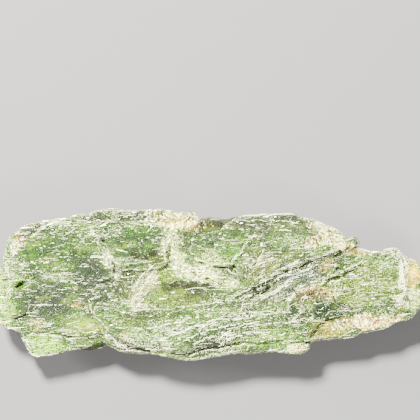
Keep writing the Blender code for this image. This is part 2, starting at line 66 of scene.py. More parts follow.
bl_info = {
    "name": "Kyanite blade",
    "version": (1, 0, 0),
    "blender": (4, 5, 0),
    "location": "3D View > Sidebar > Kyanite",
    "description": "Builds a rough kyanite blade round its packed solid",
    "category": "Add Mesh",
}

MM = 0.001
NODE = "kyanite_crystal"

# How the photograph's pixels lie on the broad face
PHOTO_SIDE = 420
MM_PER_PIXEL = 0.107
STONE_CENTRE_PIXEL = (210.0, 284.75)

# Heights that split the broad face from the flanks and the back, how softly they do it, and the band at the
# bottom that stays flat, in millimetres
FACE_LEVEL = 3.3
BACK_LEVEL = 2.4
DEEP_LEVEL = 3.95
DEEP_BLEND = 0.25
FACE_BLEND = 0.5
REST_BAND = 0.12

# The patches start a little under the broad face, and fade where it tilts away
PAINT_START = 0.4
PAINT_BLEND = 0.6
PAINT_TILT = 1.6

# The thin rim, painted paler as a glow that stands in for light coming through: how near the outline seen
# from above it lies, how far under the back's level it goes, how wide the slices are that find the outline,
# how pale the painted glow is, how much of it shows, and how much frost it adds
RIM_GLOW = 0.45
RIM_DEPTH = 1.2
RIM_SLICE = 0.15
PAINTED_GLOW_PALENESS = 0.75
PAINTED_GLOW_SHARE = 0.3
PAINTED_GLOW_FROST = 0.22

# Colours of the minerals, linear. Those painted on the stone are made deeper by the colour depth, and frost,
# gap and the two shades are laid over them as they are. The gap colour is also the colour of the painted
# shade.
COLOURS = {
    "fresh_green": (0.23, 0.38, 0.11),
    "pale_green": (0.42, 0.56, 0.26),
    "leaf_green": (0.12, 0.22, 0.06),
    "deep_green": (0.08, 0.13, 0.08),
    "sea_green": (0.12, 0.20, 0.13),
    "sage": (0.30, 0.42, 0.17),
    "slate_green": (0.18, 0.21, 0.19),
    "charcoal": (0.26, 0.29, 0.31),
    "olive": (0.27, 0.31, 0.10),
    "olive_grey": (0.27, 0.31, 0.17),
    "pale_olive": (0.50, 0.58, 0.17),
    "moss_grey": (0.24, 0.27, 0.19),
    "yellow_green": (0.42, 0.50, 0.09),
    "lime": (0.43, 0.60, 0.16),
    "spring_lime": (0.60, 0.79, 0.17),
    "honey": (0.47, 0.43, 0.04),
    "tan": (0.86, 0.76, 0.29),
    "umber": (0.13, 0.095, 0.03),
    "rust": (0.60, 0.38, 0.10),
    "peach": (0.76, 0.60, 0.28),
    "blush": (0.80, 0.77, 0.46),
    "cream": (0.92, 0.87, 0.40),
    "frost": (0.90, 0.97, 0.53),
    "gap": (0.014, 0.018, 0.011),
    "deep_shade": (0.024, 0.048, 0.012),
    "golden_shade": (0.16, 0.26, 0.02),
}

# Patches of the broad face: centre and half size in the photograph's pixels, turn in degrees (anticlockwise),
# colour, how much of it shows, how frosty it is
PATCHES = {
    "left_tip": ((4, 295), (9, 36), 0, "spring_lime", 0.8, 0.1),
    "left_green": ((48, 252), (33, 13), 3, "fresh_green", 0.85, -0.3),
    "left_green_heart": ((52, 254), (16, 7), 3, "leaf_green", 0.5, -0.2),
    "left_deep_green": ((79, 251), (11, 9), 0, "leaf_green", 0.8, -0.3),
    "left_upper_strip": ((82, 229), (46, 7), 0, "sage", 0.7, 0.1),
    "left_slate_eye": ((92, 271), (19, 13), 4, "slate_green", 0.88, -0.3),
    "left_slate_field": ((47, 301), (26, 17), 2, "slate_green", 0.88, -0.12),
    "left_slate_tail": ((96, 293), (18, 12), 0, "slate_green", 0.7, -0.1),
    "left_pale_ledge": ((11, 262), (7, 20), 0, "pale_green", 0.6, 0.35),
    "olive_window": ((84, 327), (25, 9), -3, "pale_olive", 0.9, 0.0),
    "olive_window_glow": ((95, 331), (12, 4), -3, "honey", 0.45, -0.1),
    "lower_left_prism": ((46, 346), (18, 11), 0, "spring_lime", 0.9, 0.0),
    "left_stain": ((80, 307), (8, 3), 5, "peach", 0.85, 0.1),
    "lower_left_stain": ((38, 325), (8, 4), 0, "peach", 0.5, 0.3),
    "upper_left_rim": ((19, 240), (7, 13), -28, "blush", 0.75, 0.05),
    "upper_left_rust": ((20, 239), (7, 5), 0, "rust", 0.8, -0.1),
    "upper_left_grey": ((38, 229), (17, 6), 20, "slate_green", 0.8, 0.0),
    "second_green": ((137, 243), (31, 15), 0, "fresh_green", 0.7, -0.15),
    "second_green_dark": ((130, 247), (17, 8), 0, "slate_green", 0.55, -0.05),
    "second_green_end": ((160, 248), (7, 14), 0, "deep_green", 0.65, -0.1),
    "second_brown": ((148, 257), (15, 6), -8, "umber", 0.85, -0.1),
    "centre_grey": ((128, 285), (24, 14), 6, "olive_grey", 0.85, 0.0),
    "blush_shear": ((145, 288), (27, 8), 56, "blush", 0.6, 0.22),
    "crack_grains": ((112, 262), (5, 18), 15, "frost", 0.7, 0.5),
    "crack_shadow": ((114, 271), (4, 6), 0, "umber", 0.5, 0.0),
    "matrix_top": ((178, 218), (32, 10), -3, "cream", 1.0, -0.05),
    "matrix_top_warm": ((178, 215), (24, 6), 0, "honey", 0.6, -0.15),
    "matrix_band": ((172, 250), (9, 22), 5, "frost", 0.75, 0.2),
    "matrix_river": ((205, 275), (32, 8), -14, "frost", 0.9, 0.25),
    "matrix_edge": ((199, 228), (8, 6), 0, "rust", 0.5, 0.1),
    "top_grey_rim": ((115, 216), (36, 5), 3, "slate_green", 0.8, 0.05),
    "hollow_green": ((226, 246), (24, 15), 3, "fresh_green", 0.6, 0.0),
    "hollow_lime": ((236, 252), (11, 9), 0, "lime", 0.85, -0.2),
    "hollow_frost": ((210, 262), (18, 8), 0, "frost", 0.5, 0.3),
    "upper_right_slope": ((266, 225), (46, 9), 2, "moss_grey", 0.95, -0.15),
    "upper_right_green": ((262, 238), (34, 7), -3, "sage", 0.8, -0.2),
    "upper_right_leaf": ((249, 246), (8, 5), 0, "sea_green", 0.7, -0.1),
    "upper_right_field": ((270, 263), (32, 20), 12, "olive_grey", 0.7, 0.0),
    "upper_right_tan": ((262, 265), (16, 12), 10, "tan", 0.25, 0.1),
    "upper_right_mint": ((290, 240), (20, 9), -10, "pale_green", 0.6, 0.25),
    "right_rim": ((331, 235), (23, 8), -30, "blush", 0.85, 0.15),
    "right_rim_rust": ((314, 241), (10, 4), -10, "rust", 0.55, -0.05),
    "right_hollow": ((334, 252), (13, 5), 10, "olive", 0.8, -0.05),
    "crumple_dark": ((289, 284), (34, 12), 30, "charcoal", 0.95, 0.06),
    "crumple_grey": ((304, 274), (30, 9), 26, "charcoal", 0.45, 0.05),
    "crumple_seam": ((268, 286), (22, 5), 33, "charcoal", 0.55, -0.1),
    "crumple_peach": ((325, 268), (9, 5), 15, "peach", 0.8, -0.05),
    "lower_peach": ((318, 292), (26, 7), 8, "peach", 0.8, 0.05),
    "lower_peach_spots": ((306, 299), (10, 5), 30, "rust", 0.75, -0.1),
    "dark_lobe": ((318, 311), (31, 15), 0, "sea_green", 0.8, 0.0),
    "dark_lobe_heart": ((322, 310), (15, 9), 0, "deep_green", 0.45, -0.1),
    "right_field": ((370, 279), (34, 18), 0, "fresh_green", 0.65, -0.05),
    "right_field_warm": ((366, 286), (36, 20), 0, "yellow_green", 0.8, 0.1),
    "right_field_pale": ((385, 262), (18, 9), 0, "pale_green", 0.6, 0.15),
    "right_field_yellow": ((358, 299), (17, 8), 0, "yellow_green", 0.9, -0.1),
    "right_sage": ((378, 305), (18, 8), 0, "sage", 0.6, 0.25),
    "right_lower_rim": ((370, 322), (30, 7), 9, "cream", 1.0, 0.25),
    "right_rim_gold": ((362, 323), (32, 6), 9, "tan", 0.75, 0.0),
    "right_rust": ((379, 321), (9, 4), 15, "rust", 0.85, -0.1),
    "right_lower_honey": ((400, 308), (12, 6), 30, "honey", 0.55, 0.1),
    "right_joint": ((356, 250), (16, 5), -15, "peach", 0.7, 0.1),
    "honey_wedge": ((328, 331), (19, 8), 8, "honey", 0.95, -0.15),
    "tip_sheet": ((415, 274), (8, 17), 0, "tan", 0.95, -0.1),
    "right_border_band": ((403, 274), (4, 27), -4, "frost", 1.0, 0.7),
    "tip_white": ((416, 300), (8, 12), 0, "frost", 0.7, 0.3),
    "lower_lime": ((272, 340), (34, 7), 5, "lime", 0.9, -0.05),
    "lower_lime_core": ((288, 338), (14, 4), 5, "sage", 0.3, -0.05),
    "lower_sage": ((228, 312), (52, 14), 5, "sage", 0.75, 0.08),
    "lower_olive": ((255, 302), (36, 9), 12, "olive_grey", 0.6, 0.1),
    "lower_left_yellow": ((148, 315), (32, 8), 4, "olive", 0.65, 0.0),
    "lower_left_pale": ((160, 332), (38, 12), 6, "pale_green", 0.7, 0.18),
    "lower_mid_green": ((215, 338), (30, 9), 12, "sea_green", 0.5, 0.15),
    "lower_dark_tip": ((205, 348), (14, 5), 10, "deep_green", 0.6, 0.1),
    "yellow_flank": ((167, 287), (9, 20), 8, "yellow_green", 0.95, -0.35),
    "yellow_flank_shade": ((169, 290), (7, 13), 8, "leaf_green", 0.35, -0.15),
    "brown_window": ((188, 287), (22, 7), -2, "umber", 0.75, -0.25),
    "brown_window_tail": ((190, 299), (24, 6), 0, "olive", 0.8, -0.2),
    "pink_speck": ((127, 334), (5, 5), -30, "blush", 0.8, 0.2),
    "lower_grey_step": ((126, 342), (22, 6), -22, "charcoal", 0.55, 0.35),
    "lower_lump": ((297, 349), (14, 6), 5, "frost", 0.9, 0.4),
    "lower_lump_peach": ((296, 349), (9, 3), 8, "peach", 0.8, 0.0),
}

# Patches of the plates behind the broad face, seen past its rim, partly their own umber and partly painted
# shade:
# as above, without the frost
DEEP_PATCHES_AND_SHADE = {
    "notch_umber_and_shade": ((222, 221), (26, 14), 0, "umber", 1.0),
    "sliver_umber_and_shade": ((92, 349), (15, 6), 6, "umber", 0.85),
}

# Frosty lines along broken plate edges, with painted shade on one side, in the photograph's pixels: route,
# width in mm, rise in mm, frost, which also sets how strong the painted shade is
CRESTS = {
    "left_step": ([(6, 262), (8, 275), (9, 287), (5, 297)], 0.22, 0.10, 0.9),
    "left_rim": ([(12, 255), (20, 246), (30, 239), (42, 228), (50, 224), (58, 222)], 0.25, 0.10, 0.9),
    "top_rim": ([(58, 222), (84, 222), (110, 221), (128, 217), (150, 213)], 0.16, 0.08, 0.7),
    "left_crack": ([(92, 230), (97, 238), (100, 246), (105, 255), (110, 264), (113, 275)], 0.32, 0.06, 1.0),
    "left_branch": ([(97, 238), (92, 234), (88, 232)], 0.2, 0.05, 0.7),
    "slate_top": ([(38, 275), (50, 277), (62, 281), (80, 283), (95, 284), (107, 286)], 0.13, 0.06, 0.7),
    "left_line": ([(10, 263), (25, 263), (40, 262), (55, 262)], 0.12, 0.05, 0.6),
    "olive_edge": ([(88, 300), (92, 312), (97, 318), (105, 325), (112, 334), (122, 342)], 0.14, 0.08, 0.45),
    "cross_hair": ([(90, 300), (97, 297), (104, 295), (111, 293), (115, 289)], 0.1, 0.04, 0.7),
    "lower_step": ([(30, 334), (50, 336), (66, 339), (84, 338), (98, 336), (110, 338)], 0.22, 0.07, 0.8),
    "step_rim": ([(112, 340), (120, 345), (130, 349), (150, 353), (170, 357)], 0.25, 0.08, 0.9),
    "shear_top": ([(152, 266), (143, 274), (136, 285), (130, 294)], 0.16, 0.05, 0.9),
    "shear_bottom": ([(160, 274), (151, 286), (143, 298), (134, 310)], 0.16, 0.05, 0.8),
    "shear_line": ([(157, 268), (150, 277), (142, 288), (136, 296), (131, 306)], 0.3, 0.05, 0.8),
    "river_bank": (
        [(165, 240), (164, 252), (168, 262), (176, 268), (190, 275), (205, 281), (222, 287)], 0.3, 0.1, 0.9,
    ),
    "river_top": ([(176, 262), (190, 266), (210, 267), (224, 265), (236, 258)], 0.2, 0.07, 0.8),
    "feather": ([(255, 234), (250, 239), (245, 246), (240, 253), (234, 259)], 0.2, 0.08, 1.0),
    "feather_two": ([(262, 236), (252, 237), (245, 240)], 0.12, 0.05, 0.6),
    "long_crest": (
        [(215, 303), (228, 299), (240, 294), (255, 286), (265, 280), (282, 268), (300, 262), (320, 257),
         (335, 250), (345, 246)],
        0.32, 0.12, 1.0,
    ),
    "long_crest_two": ([(240, 300), (256, 292), (270, 284), (284, 275), (298, 269)], 0.22, 0.08, 0.95),
    "long_crest_three": ([(262, 299), (276, 291), (288, 281), (300, 272), (312, 266)], 0.22, 0.08, 0.9),
    "second_crest": (
        [(288, 300), (297, 288), (310, 282), (324, 279), (345, 270), (362, 262)], 0.24, 0.1, 1.0,
    ),
    "peach_crest": ([(300, 290), (318, 285), (334, 281), (350, 278), (362, 274)], 0.14, 0.05, 0.6),
    "hook": ([(297, 288), (293, 296), (289, 301), (288, 312)], 0.16, 0.08, 0.9),
    "hook_thick": ([(306, 296), (302, 304), (299, 313), (294, 320), (288, 325)], 0.34, 0.08, 1.0),
    "long_ledge": ([(120, 312), (150, 309), (170, 308), (200, 305), (215, 303), (230, 300)], 0.1, 0.05, 0.7),
    "rib_first": ([(205, 322), (235, 314), (262, 311), (290, 312)], 0.09, 0.04, 0.65),
    "rib_second": ([(222, 336), (250, 326), (280, 322), (298, 322)], 0.09, 0.04, 0.65),
    "rib_third": ([(240, 345), (262, 338), (290, 333), (305, 332)], 0.09, 0.04, 0.7),
    "rib_fourth": ([(160, 322), (190, 318), (215, 314)], 0.08, 0.04, 0.6),
    "rib_fifth": ([(180, 330), (212, 322), (240, 318)], 0.08, 0.04, 0.6),
    "slope_line": ([(232, 222), (255, 220), (285, 221), (305, 225)], 0.08, 0.04, 0.4),
    "slope_line_two": ([(236, 230), (262, 228), (290, 230)], 0.08, 0.04, 0.4),
    "slope_line_three": ([(245, 215), (268, 213), (290, 215)], 0.08, 0.04, 0.4),
    "rib_low": ([(191, 356), (199, 352), (223, 348), (251, 343), (300, 340)], 0.14, 0.07, 0.8),
    "rib_mid": ([(195, 344), (202, 340), (212, 337), (230, 330)], 0.12, 0.06, 0.7),
    "rib_high": ([(219, 346), (230, 338), (241, 334), (270, 332)], 0.14, 0.07, 0.8),
    "rib_top": ([(172, 346), (190, 338), (205, 331), (230, 325), (262, 322)], 0.12, 0.05, 0.6),
    "rib_dash": ([(150, 344), (172, 335), (196, 326), (222, 318)], 0.1, 0.04, 0.55),
    "right_border": (
        [(398, 249), (402, 258), (404, 270), (407, 284), (408, 292), (404, 300)], 1.1, 0.06, 1.0,
    ),
    "right_top": ([(357, 246), (366, 252), (380, 254), (392, 250)], 0.28, 0.07, 0.8),
    "right_hair": ([(362, 284), (378, 283), (398, 281)], 0.1, 0.04, 0.6),
    "honey_bank": ([(340, 322), (330, 324), (318, 327), (308, 333)], 0.16, 0.05, 0.7),
    "rim_pocket": ([(300, 247), (312, 246), (326, 243), (340, 247), (346, 253)], 0.15, 0.06, 0.7),
    "prism_edge": ([(21, 332), (27, 344), (31, 355), (45, 357), (60, 355), (80, 350)], 0.2, 0.03, 0.9),
}

# Cracks, carved and darkened with painted shade: route, width in mm, depth in mm
CRACKS = {
    "left_slit": ([(22, 283), (29, 280), (36, 277)], 0.07, 0.08),
    "slate_arc": ([(83, 262), (90, 259), (97, 261), (103, 265)], 0.18, 0.12),
    "lower_slit": ([(128, 347), (140, 350), (155, 352)], 0.14, 0.22),
    "crumple_slit": ([(254, 293), (266, 285), (276, 277)], 0.2, 0.12),
    "crumple_slit_two": ([(290, 290), (300, 283), (312, 279)], 0.15, 0.1),
    "rib_slit": ([(196, 349), (206, 346), (218, 344)], 0.2, 0.14),
    "rim_slit": ([(120, 219), (135, 217), (148, 217)], 0.14, 0.12),
    "sea_slit": ([(120, 268), (140, 265), (158, 263)], 0.12, 0.08),
    "top_slit": ([(262, 217), (280, 216), (296, 217)], 0.12, 0.08),
}

# Round pits, darkened with painted shade: centre in the photograph's pixels, radius in mm, depth in mm
PITS = {
    "matrix_pit_high": ((175, 238), 0.34, 0.30),
    "matrix_pit_large": ((175, 252), 0.80, 0.32),
    "hollow_pit": ((213, 243), 0.30, 0.22),
    "crack_pit": ((113, 270), 0.30, 0.25),
    "rim_pit": ((382, 321), 0.30, 0.20),
    "honey_pit": ((352, 325), 0.28, 0.22),
    "hook_pit": ((293, 305), 0.38, 0.18),
}

# Where the grain runs at an angle: centre, half size, degrees
GRAIN_TURNS = [
    ((235, 325), (75, 26), 9.0),
    ((285, 280), (45, 22), 24.0),
    ((268, 228), (50, 14), 3.5),
    ((130, 345), (34, 10), -16.0),
    ((145, 288), (14, 26), 30.0),
    ((330, 235), (28, 14), -18.0),
]

# How the names start of the patches with calm grain, the patches of rubble and the crests that hardly waver
CALM_PATCHES = ("olive_window", "tip_sheet", "honey_wedge")
RUBBLE_PATCHES = ("matrix_", "crack_grains", "right_lower_rim", "right_rim", "upper_left_rim")
STRAIGHT_CRESTS = (
    "rib_", "slope_line", "left_line", "slate_top", "long_ledge", "right_hair", "step_rim", "lower_step",
)

# Smooth noise over the stone: the size of its lumps in millimetres, and its seed
DRIFTS = {
    "striae": ((7.0, 0.42, 0.42), 11),
    "fine_striae": ((3.5, 0.24, 0.24), 12),
    "steps": ((9.0, 1.1, 1.1), 13),
    "grit": ((0.45, 0.3, 0.3), 14),
    "coarse_grit": ((1.1, 0.8, 0.8), 15),
    "layers": ((5.0, 2.5, 0.28), 16),
    "green": ((6.0, 2.4, 2.0), 21),
    "frost": ((2.5, 0.8, 0.8), 25),
}
# Patchy shares of the stone: as above, then how steeply the noise rises from 0 to 1, and where it starts
MASKS = {
    "back_green": ((5.0, 2.0, 2.0), 22, 1.6, 0.3),
    "back_slate": ((4.0, 1.6, 1.6), 23, 2.2, -0.5),
    "back_blush": ((3.5, 2.2, 1.6), 24, 2.4, -1.0),
    "broken": ((0.7, 0.5, 0.5), 30, 1.1, 0.55),
    "torn": ((0.6, 0.6, 0.6), 31, 0.9, 0.6),
    # hollows: where painted shade darkens the rubble
    "hollows": ((1.0, 0.7, 0.7), 36, 3.8, -0.5),
}
# How far the borders of patches wander in millimetres, the lumps of the noise that moves them, and its first
# seed
WOBBLES = ((0.55, (1.4, 0.8, 0.8), 26), (0.22, (0.5, 0.3, 0.3), 28))

# Relief, in millimetres
GRIT_RISE = 0.035
RUBBLE_RISE = 0.16
RUBBLE_GRIT_RISE = 0.10
LAYER_RISE = 0.16
FLANK_RISE = 0.07
CREST_WANDER = 0.15
CREST_WANDER_SIZE = (0.5, 0.5, 0.5)

# How wide a crest's ridge, the drop beside it, its frosty line and its painted shade are, as shares of its
# width, and how strong each is
RIDGE_WIDTH = 0.75
RIDGE_SHARE = 0.5
DROP_WIDTH = 2.2
DROP_SHARE = 0.12
LINE_WIDTH = 0.4
SHADE_OFFSET = 1.5
SHADE_WIDTH = 0.8
SHADE_SHARE = 0.2
LINE_WAVER = 0.22
STRAIGHT_WAVER = 0.05

# How frosty the stone is, how much that drifts, what its crests add and what its painted shade takes away
FROST_LEVEL = 0.24
FROST_DRIFT = 0.14
FROST_ON_CRESTS = 0.9
FROST_IN_PAINTED_SHADE = 0.6

# Noise in the stone's material: lumps for each millimetre along, across and up, then detail and roughness.
# The shares say how much each one counts in the grain.
GRAIN_NOISES = {
    "hairs": ((0.6, 7.4, 7.4), 2.0, 0.6),
    "sugar": ((6.8, 8.0, 8.0), 2.0, 0.65),
    "dust": ((8.5, 10.0, 10.0), 1.0, 0.6),
    "mottle": ((1.6, 2.6, 2.6), 2.0, 0.55),
    "clouds": ((0.4, 0.9, 0.9), 2.0, 0.5),
}
GRAIN_SHARES = {"hairs": 0.12, "sugar": 0.88, "dust": 0.55, "mottle": 0.28}

# Ranges in the stone's material: from these two values, to these two. The gaps and the sugar get their
# second two from the settings.
CALM_TO_LIVELINESS = (0.0, 1.0, 1.0, 0.45)
FROST_TO_LIVELINESS = (0.1, 0.65, 0.95, 1.45)
GRAIN_TO_DEPTH = (0.38, 0.62, 0.36, 2.25)
CLOUD_TO_DEEP_SHADE = (0.5, 0.64, 0.0, 0.65)
CLOUD_TO_GOLDEN_SHADE = (0.48, 0.36, 0.0, 0.4)
FROST_TO_HAZE = (0.55, 1.0, 0.0, 0.5)
GRAIN_TO_ROUGHNESS = (0.4, 0.85, 0.2, 0.5)
GAP_RANGE = (0.48, 0.425)
SUGAR_RANGE = (0.615, 0.69)

# Where frost starts to lift the sugar and how much it does, how far the haze keeps the tint, how dark the
# painted shade gets, and how deep the grain looks in millimetres
FROST_MIDDLE = 0.38
FROST_LIFT = 0.28
HAZE_TINT = 0.35
PAINTED_SHADE_STRENGTH = 0.82
BUMP_DISTANCE = 0.7

# Lengths of the small shapes: the middle one, the spread of the logarithm, and the longest
SHEET_LENGTH = (0.2, 0.5, 0.6)
SPLINTER_LENGTH = (0.8, 0.5, 2.4)
HAIR_LENGTH = (0.6, 0.6, 2.2)

# Other sizes of the small shapes, from the least to the most
SHEET_WIDTH = (0.03, 0.07)
SHEET_THICKNESS = (0.015, 0.03)
SPLINTER_THICKNESS = (0.06, 0.12)
HAIR_THICKNESS = (0.014, 0.03)
NEEDLE_THICKNESS = (0.02, 0.04)
NEEDLE_LENGTH = (0.3, 1.0)
SHARD_SIZE = ((0.12, 0.35), (0.03, 0.06), (0.05, 0.12))
GRAIN_SIZE = (0.08, 0.24)

# How light the small shapes are made, against the colour that each one starts from
SHEET_LIGHT = (0.25, 1.2)
SPLINTER_LIGHT = (0.7, 1.2)
SHARD_LIGHT = (0.5, 1.1)
RUST_LIGHT = (0.6, 1.2)
NEEDLE_LIGHT = 1.1
GRAIN_LIGHTS = (0.05, 0.2, 0.5, 0.85, 1.15)

# Where each light hangs, its width and its power, in metres and watts
LIGHTS = {
    "key": ((-0.09, 0.17, 0.25), 0.05, 19.5),
    "fill": ((0.10, -0.20, 0.24), 0.12, 2.8),
    "rake": ((-0.24, 0.05, 0.09), 0.05, 1.9),
}

# The lights' colour, the strength of the room's light, how far the floor reaches in metres, the width of the
# camera's sensor in millimetres, and how high the broad face lies, as a share of the stone's height
LIGHT_COLOUR = (1.0, 0.97, 0.9)
ROOM_LIGHT = 0.7
FLOOR_REACH = 1.2
SENSOR_WIDTH = 36.0
FACE_HEIGHT_SHARE = 0.85

# Numbers that scramble the cells of the smooth noise
CELL_PRIMES = (73856093, 19349663, 83492791)
SEED_PRIME = 2654435761
MIXING_PRIME = 1274126177
LOW_BITS = 65535

LIE_DOWN = Matrix.Rotation(math.radians(90.0), 3, "Y")

# What the stone's operator leaves for the others: its faces, and its search trees
STONE = {}


def on_stone(pixel):
    """A place on the broad face, in millimetres, from a pixel of the photograph."""
    return (
        (pixel[0] - STONE_CENTRE_PIXEL[0]) * MM_PER_PIXEL,
        (STONE_CENTRE_PIXEL[1] - pixel[1]) * MM_PER_PIXEL,
    )


def hashed(cells, seed):
    """A number from 0 to 1 for each whole-numbered cell."""
    mixed = np.full(len(cells), seed * SEED_PRIME % 2 ** 32, dtype=np.uint64)
    for axis, prime in enumerate(CELL_PRIMES):
        mixed ^= cells[:, axis].astype(np.int64).astype(np.uint64) * np.uint64(prime)
    mixed = (mixed ^ (mixed >> np.uint64(13))) * np.uint64(MIXING_PRIME)
    mixed ^= mixed >> np.uint64(16)
    return (mixed & np.uint64(LOW_BITS)).astype(np.float64) / LOW_BITS


def smoothed(share):
    """A share from 0 to 1 that starts and ends softly."""
    return share * share * (3.0 - 2.0 * share)


def mixed_in(colour, tone, share):
    """Rows of colour, each turned towards another colour by its own share."""
    return colour * (1.0 - share[:, None]) + np.array(tone) * share[:, None]


def held_in_box(places):
    """Places in millimetres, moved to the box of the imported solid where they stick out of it."""
    return np.clip(places, np.array(CAD_LOW) / MM, np.array(CAD_HIGH) / MM)


def noise(places, size, seed):
    """Smooth noise from -1 to 1. The size of its lumps is given along each axis, in millimetres."""
    scaled = places / np.asarray(size, dtype=np.float64)
    cell = np.floor(scaled)
    blend = smoothed(scaled - cell)
    total = np.zeros(len(places))
    for corner in range(8):
        step = np.array([corner & 1, corner >> 1 & 1, corner >> 2 & 1])
        weight = np.prod(np.where(step, blend, 1.0 - blend), axis=1)
        total += weight * hashed(cell + step, seed)
    return total * 2.0 - 1.0


def drift(places, name):
    """One of the named noises, from -1 to 1."""
    return noise(places, *DRIFTS[name])


def mask(places, name):
    """One of the named patchy shares, from 0 to 1."""
    size, seed, slope, start = MASKS[name]
    return np.clip(noise(places, size, seed) * slope + start, 0.0, 1.0)


def patch_share(flat, centre, half, turn, softness=0.45):
    """How much of a turned elliptical patch each place has, 1 inside and 0 outside."""
    angle = math.radians(turn)
    offset = flat - np.array(on_stone(centre))
    along = offset[:, 0] * math.cos(angle) + offset[:, 1] * math.sin(angle)
    across = -offset[:, 0] * math.sin(angle) + offset[:, 1] * math.cos(angle)
    reach = np.hypot(along / (half[0] * MM_PER_PIXEL), across / (half[1] * MM_PER_PIXEL))
    return smoothed(np.clip((1.0 + softness - reach) / (2.0 * softness), 0.0, 1.0))


def spot_distance(flat, pixel):
    """How far each place is from a pixel's place on the broad face, in millimetres."""
    return np.hypot(*(flat - np.array(on_stone(pixel))).T)


def route_distance(flat, route):
    """How far each place is from a route, and on which side of it, in millimetres."""
    nearest = np.full(len(flat), 1e6)
    side = np.zeros(len(flat))
    points = [np.array(on_stone(pixel)) for pixel in route]
    for start, end in zip(points, points[1:]):
        run = end - start
        share = np.clip(((flat - start) @ run) / (run @ run), 0.0, 1.0)
        gap = flat - (start + share[:, None] * run)
        distance = np.hypot(gap[:, 0], gap[:, 1])
        closer = distance < nearest
        nearest = np.where(closer, distance, nearest)
        side = np.where(closer, run[0] * gap[:, 1] - run[1] * gap[:, 0], side)
    return nearest, np.sign(side)


def refined_copy(name, voxel):
    """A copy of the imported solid, merged and remeshed into small even faces."""
    bm = bmesh.new()
    bm.from_mesh(bpy.data.objects[NODE].data)
    bmesh.ops.remove_doubles(bm, verts=bm.verts, dist=0.002 * MM)
    mesh = bpy.data.meshes.new(name)
    bm.to_mesh(mesh)
    bm.free()
    rough = bpy.data.objects.new(name, mesh)
    bpy.context.scene.collection.objects.link(rough)
    remesh = rough.modifiers.new("even_faces", "REMESH")
    remesh.mode = "VOXEL"
    remesh.voxel_size = voxel * MM
    graph = bpy.context.evaluated_depsgraph_get()
    fine = bpy.data.meshes.new_from_object(rough.evaluated_get(graph))
    rough.modifiers.clear()
    rough.data = fine
    fine.name = name
    bpy.data.meshes.remove(mesh)
    return rough


def read_rows(items, name, width=3):
    """One value or vector of each vertex, normal or face, as rows."""
    rows = np.empty(len(items) * width)
    items.foreach_get(name, rows)
    return rows.reshape(-1, width)


def set_places(mesh, places):
    mesh.vertices.foreach_set("co", (places * MM).ravel())
    mesh.update()


def grain_shares(places):
    """How much of each turn of the grain the places have, with the turn's centre and its degrees."""
    facing = np.clip((places[:, 2] - BACK_LEVEL) / (FACE_LEVEL - BACK_LEVEL), 0.0, 1.0)
    for centre, half, degrees in GRAIN_TURNS:
        yield patch_share(places[:, :2], centre, half, 0, 0.6) * facing, centre, degrees


def grain_turn(places):
    """How far the grain is turned from the blade's length at each place, in degrees."""
    return sum(share * degrees for share, _, degrees in grain_shares(places))


def grain_places(places):
    """Places in a frame that follows the grain: along it, across it and up."""
    bend = np.zeros(len(places))
    for share, centre, degrees in grain_shares(places):
        bend += share * math.tan(math.radians(degrees)) * (places[:, 0] - on_stone(centre)[0])
    return np.column_stack([places[:, 0], places[:, 1] - bend, places[:, 2]])


def carve(places, normals, rubble, settings):
    """Moves the stone's points to make its striations, steps, crests, cracks and pits."""
    grain = grain_places(places)
    flat = places[:, :2]
    level = np.clip((places[:, 2] - FACE_LEVEL) / FACE_BLEND, 0.0, 1.0)
    facing = level * np.clip(normals[:, 2], 0.0, 1.0)
    sideways = 1.0 - np.abs(normals[:, 2])

    striae = 0.55 * drift(grain, "striae") + 0.45 * drift(grain, "fine_striae")
    sharp_steps = np.tanh(6.0 * drift(grain, "steps")) * 0.5
    grit = drift(places, "grit")
    coarse = drift(places, "coarse_grit")

    rise = settings.striation * (striae + 0.7 * sharp_steps) * (1.0 - 0.6 * rubble)
    rise += GRIT_RISE * grit * (0.5 + 1.2 * rubble)
    rise += rubble * (RUBBLE_RISE * coarse + RUBBLE_GRIT_RISE * grit)
    rise += sideways * (LAYER_RISE * drift(places, "layers") + FLANK_RISE * coarse)

    torn = mask(places, "torn")
    for name, (route, width, height, _) in CRESTS.items():
        wander = CREST_WANDER * noise(places, CREST_WANDER_SIZE, len(name))
        distance, side = route_distance(flat, route)
        near = np.clip(distance + wander, 0.0, None)
        ridge = np.exp(-((near / (RIDGE_WIDTH * width)) ** 2))
        drop = np.exp(-near / (DROP_WIDTH * width)) * (side < 0)
        rise += facing * height * torn * (RIDGE_SHARE * ridge - DROP_SHARE * drop)
    for route, width, depth in CRACKS.values():
        distance, _ = route_distance(flat, route)
        rise -= facing * depth * np.exp(-((distance / width) ** 2))
    for centre, radius, depth in PITS.values():
        distance = spot_distance(flat, centre)
        rise -= facing * depth * np.clip(1.25 - distance / radius, 0.0, 1.0)

    moved = places + normals * rise[:, None]
    resting = places[:, 2] < REST_BAND
    moved[resting, 2] = np.clip(places[resting, 2], 0.0, None)
    return held_in_box(moved)


def unseen_colour(places, green):
    """The colour of the flanks and the back: greens with patches of slate and blush."""
    colour = green
    back_green = np.array(COLOURS["fresh_green"]) * 0.8 + np.array(COLOURS["olive"]) * 0.2
    for name, tone in (
        ("back_green", back_green), ("back_slate", COLOURS["slate_green"]), ("back_blush", COLOURS["blush"]),
    ):
        colour = mixed_in(colour, tone, mask(places, name))
    return colour


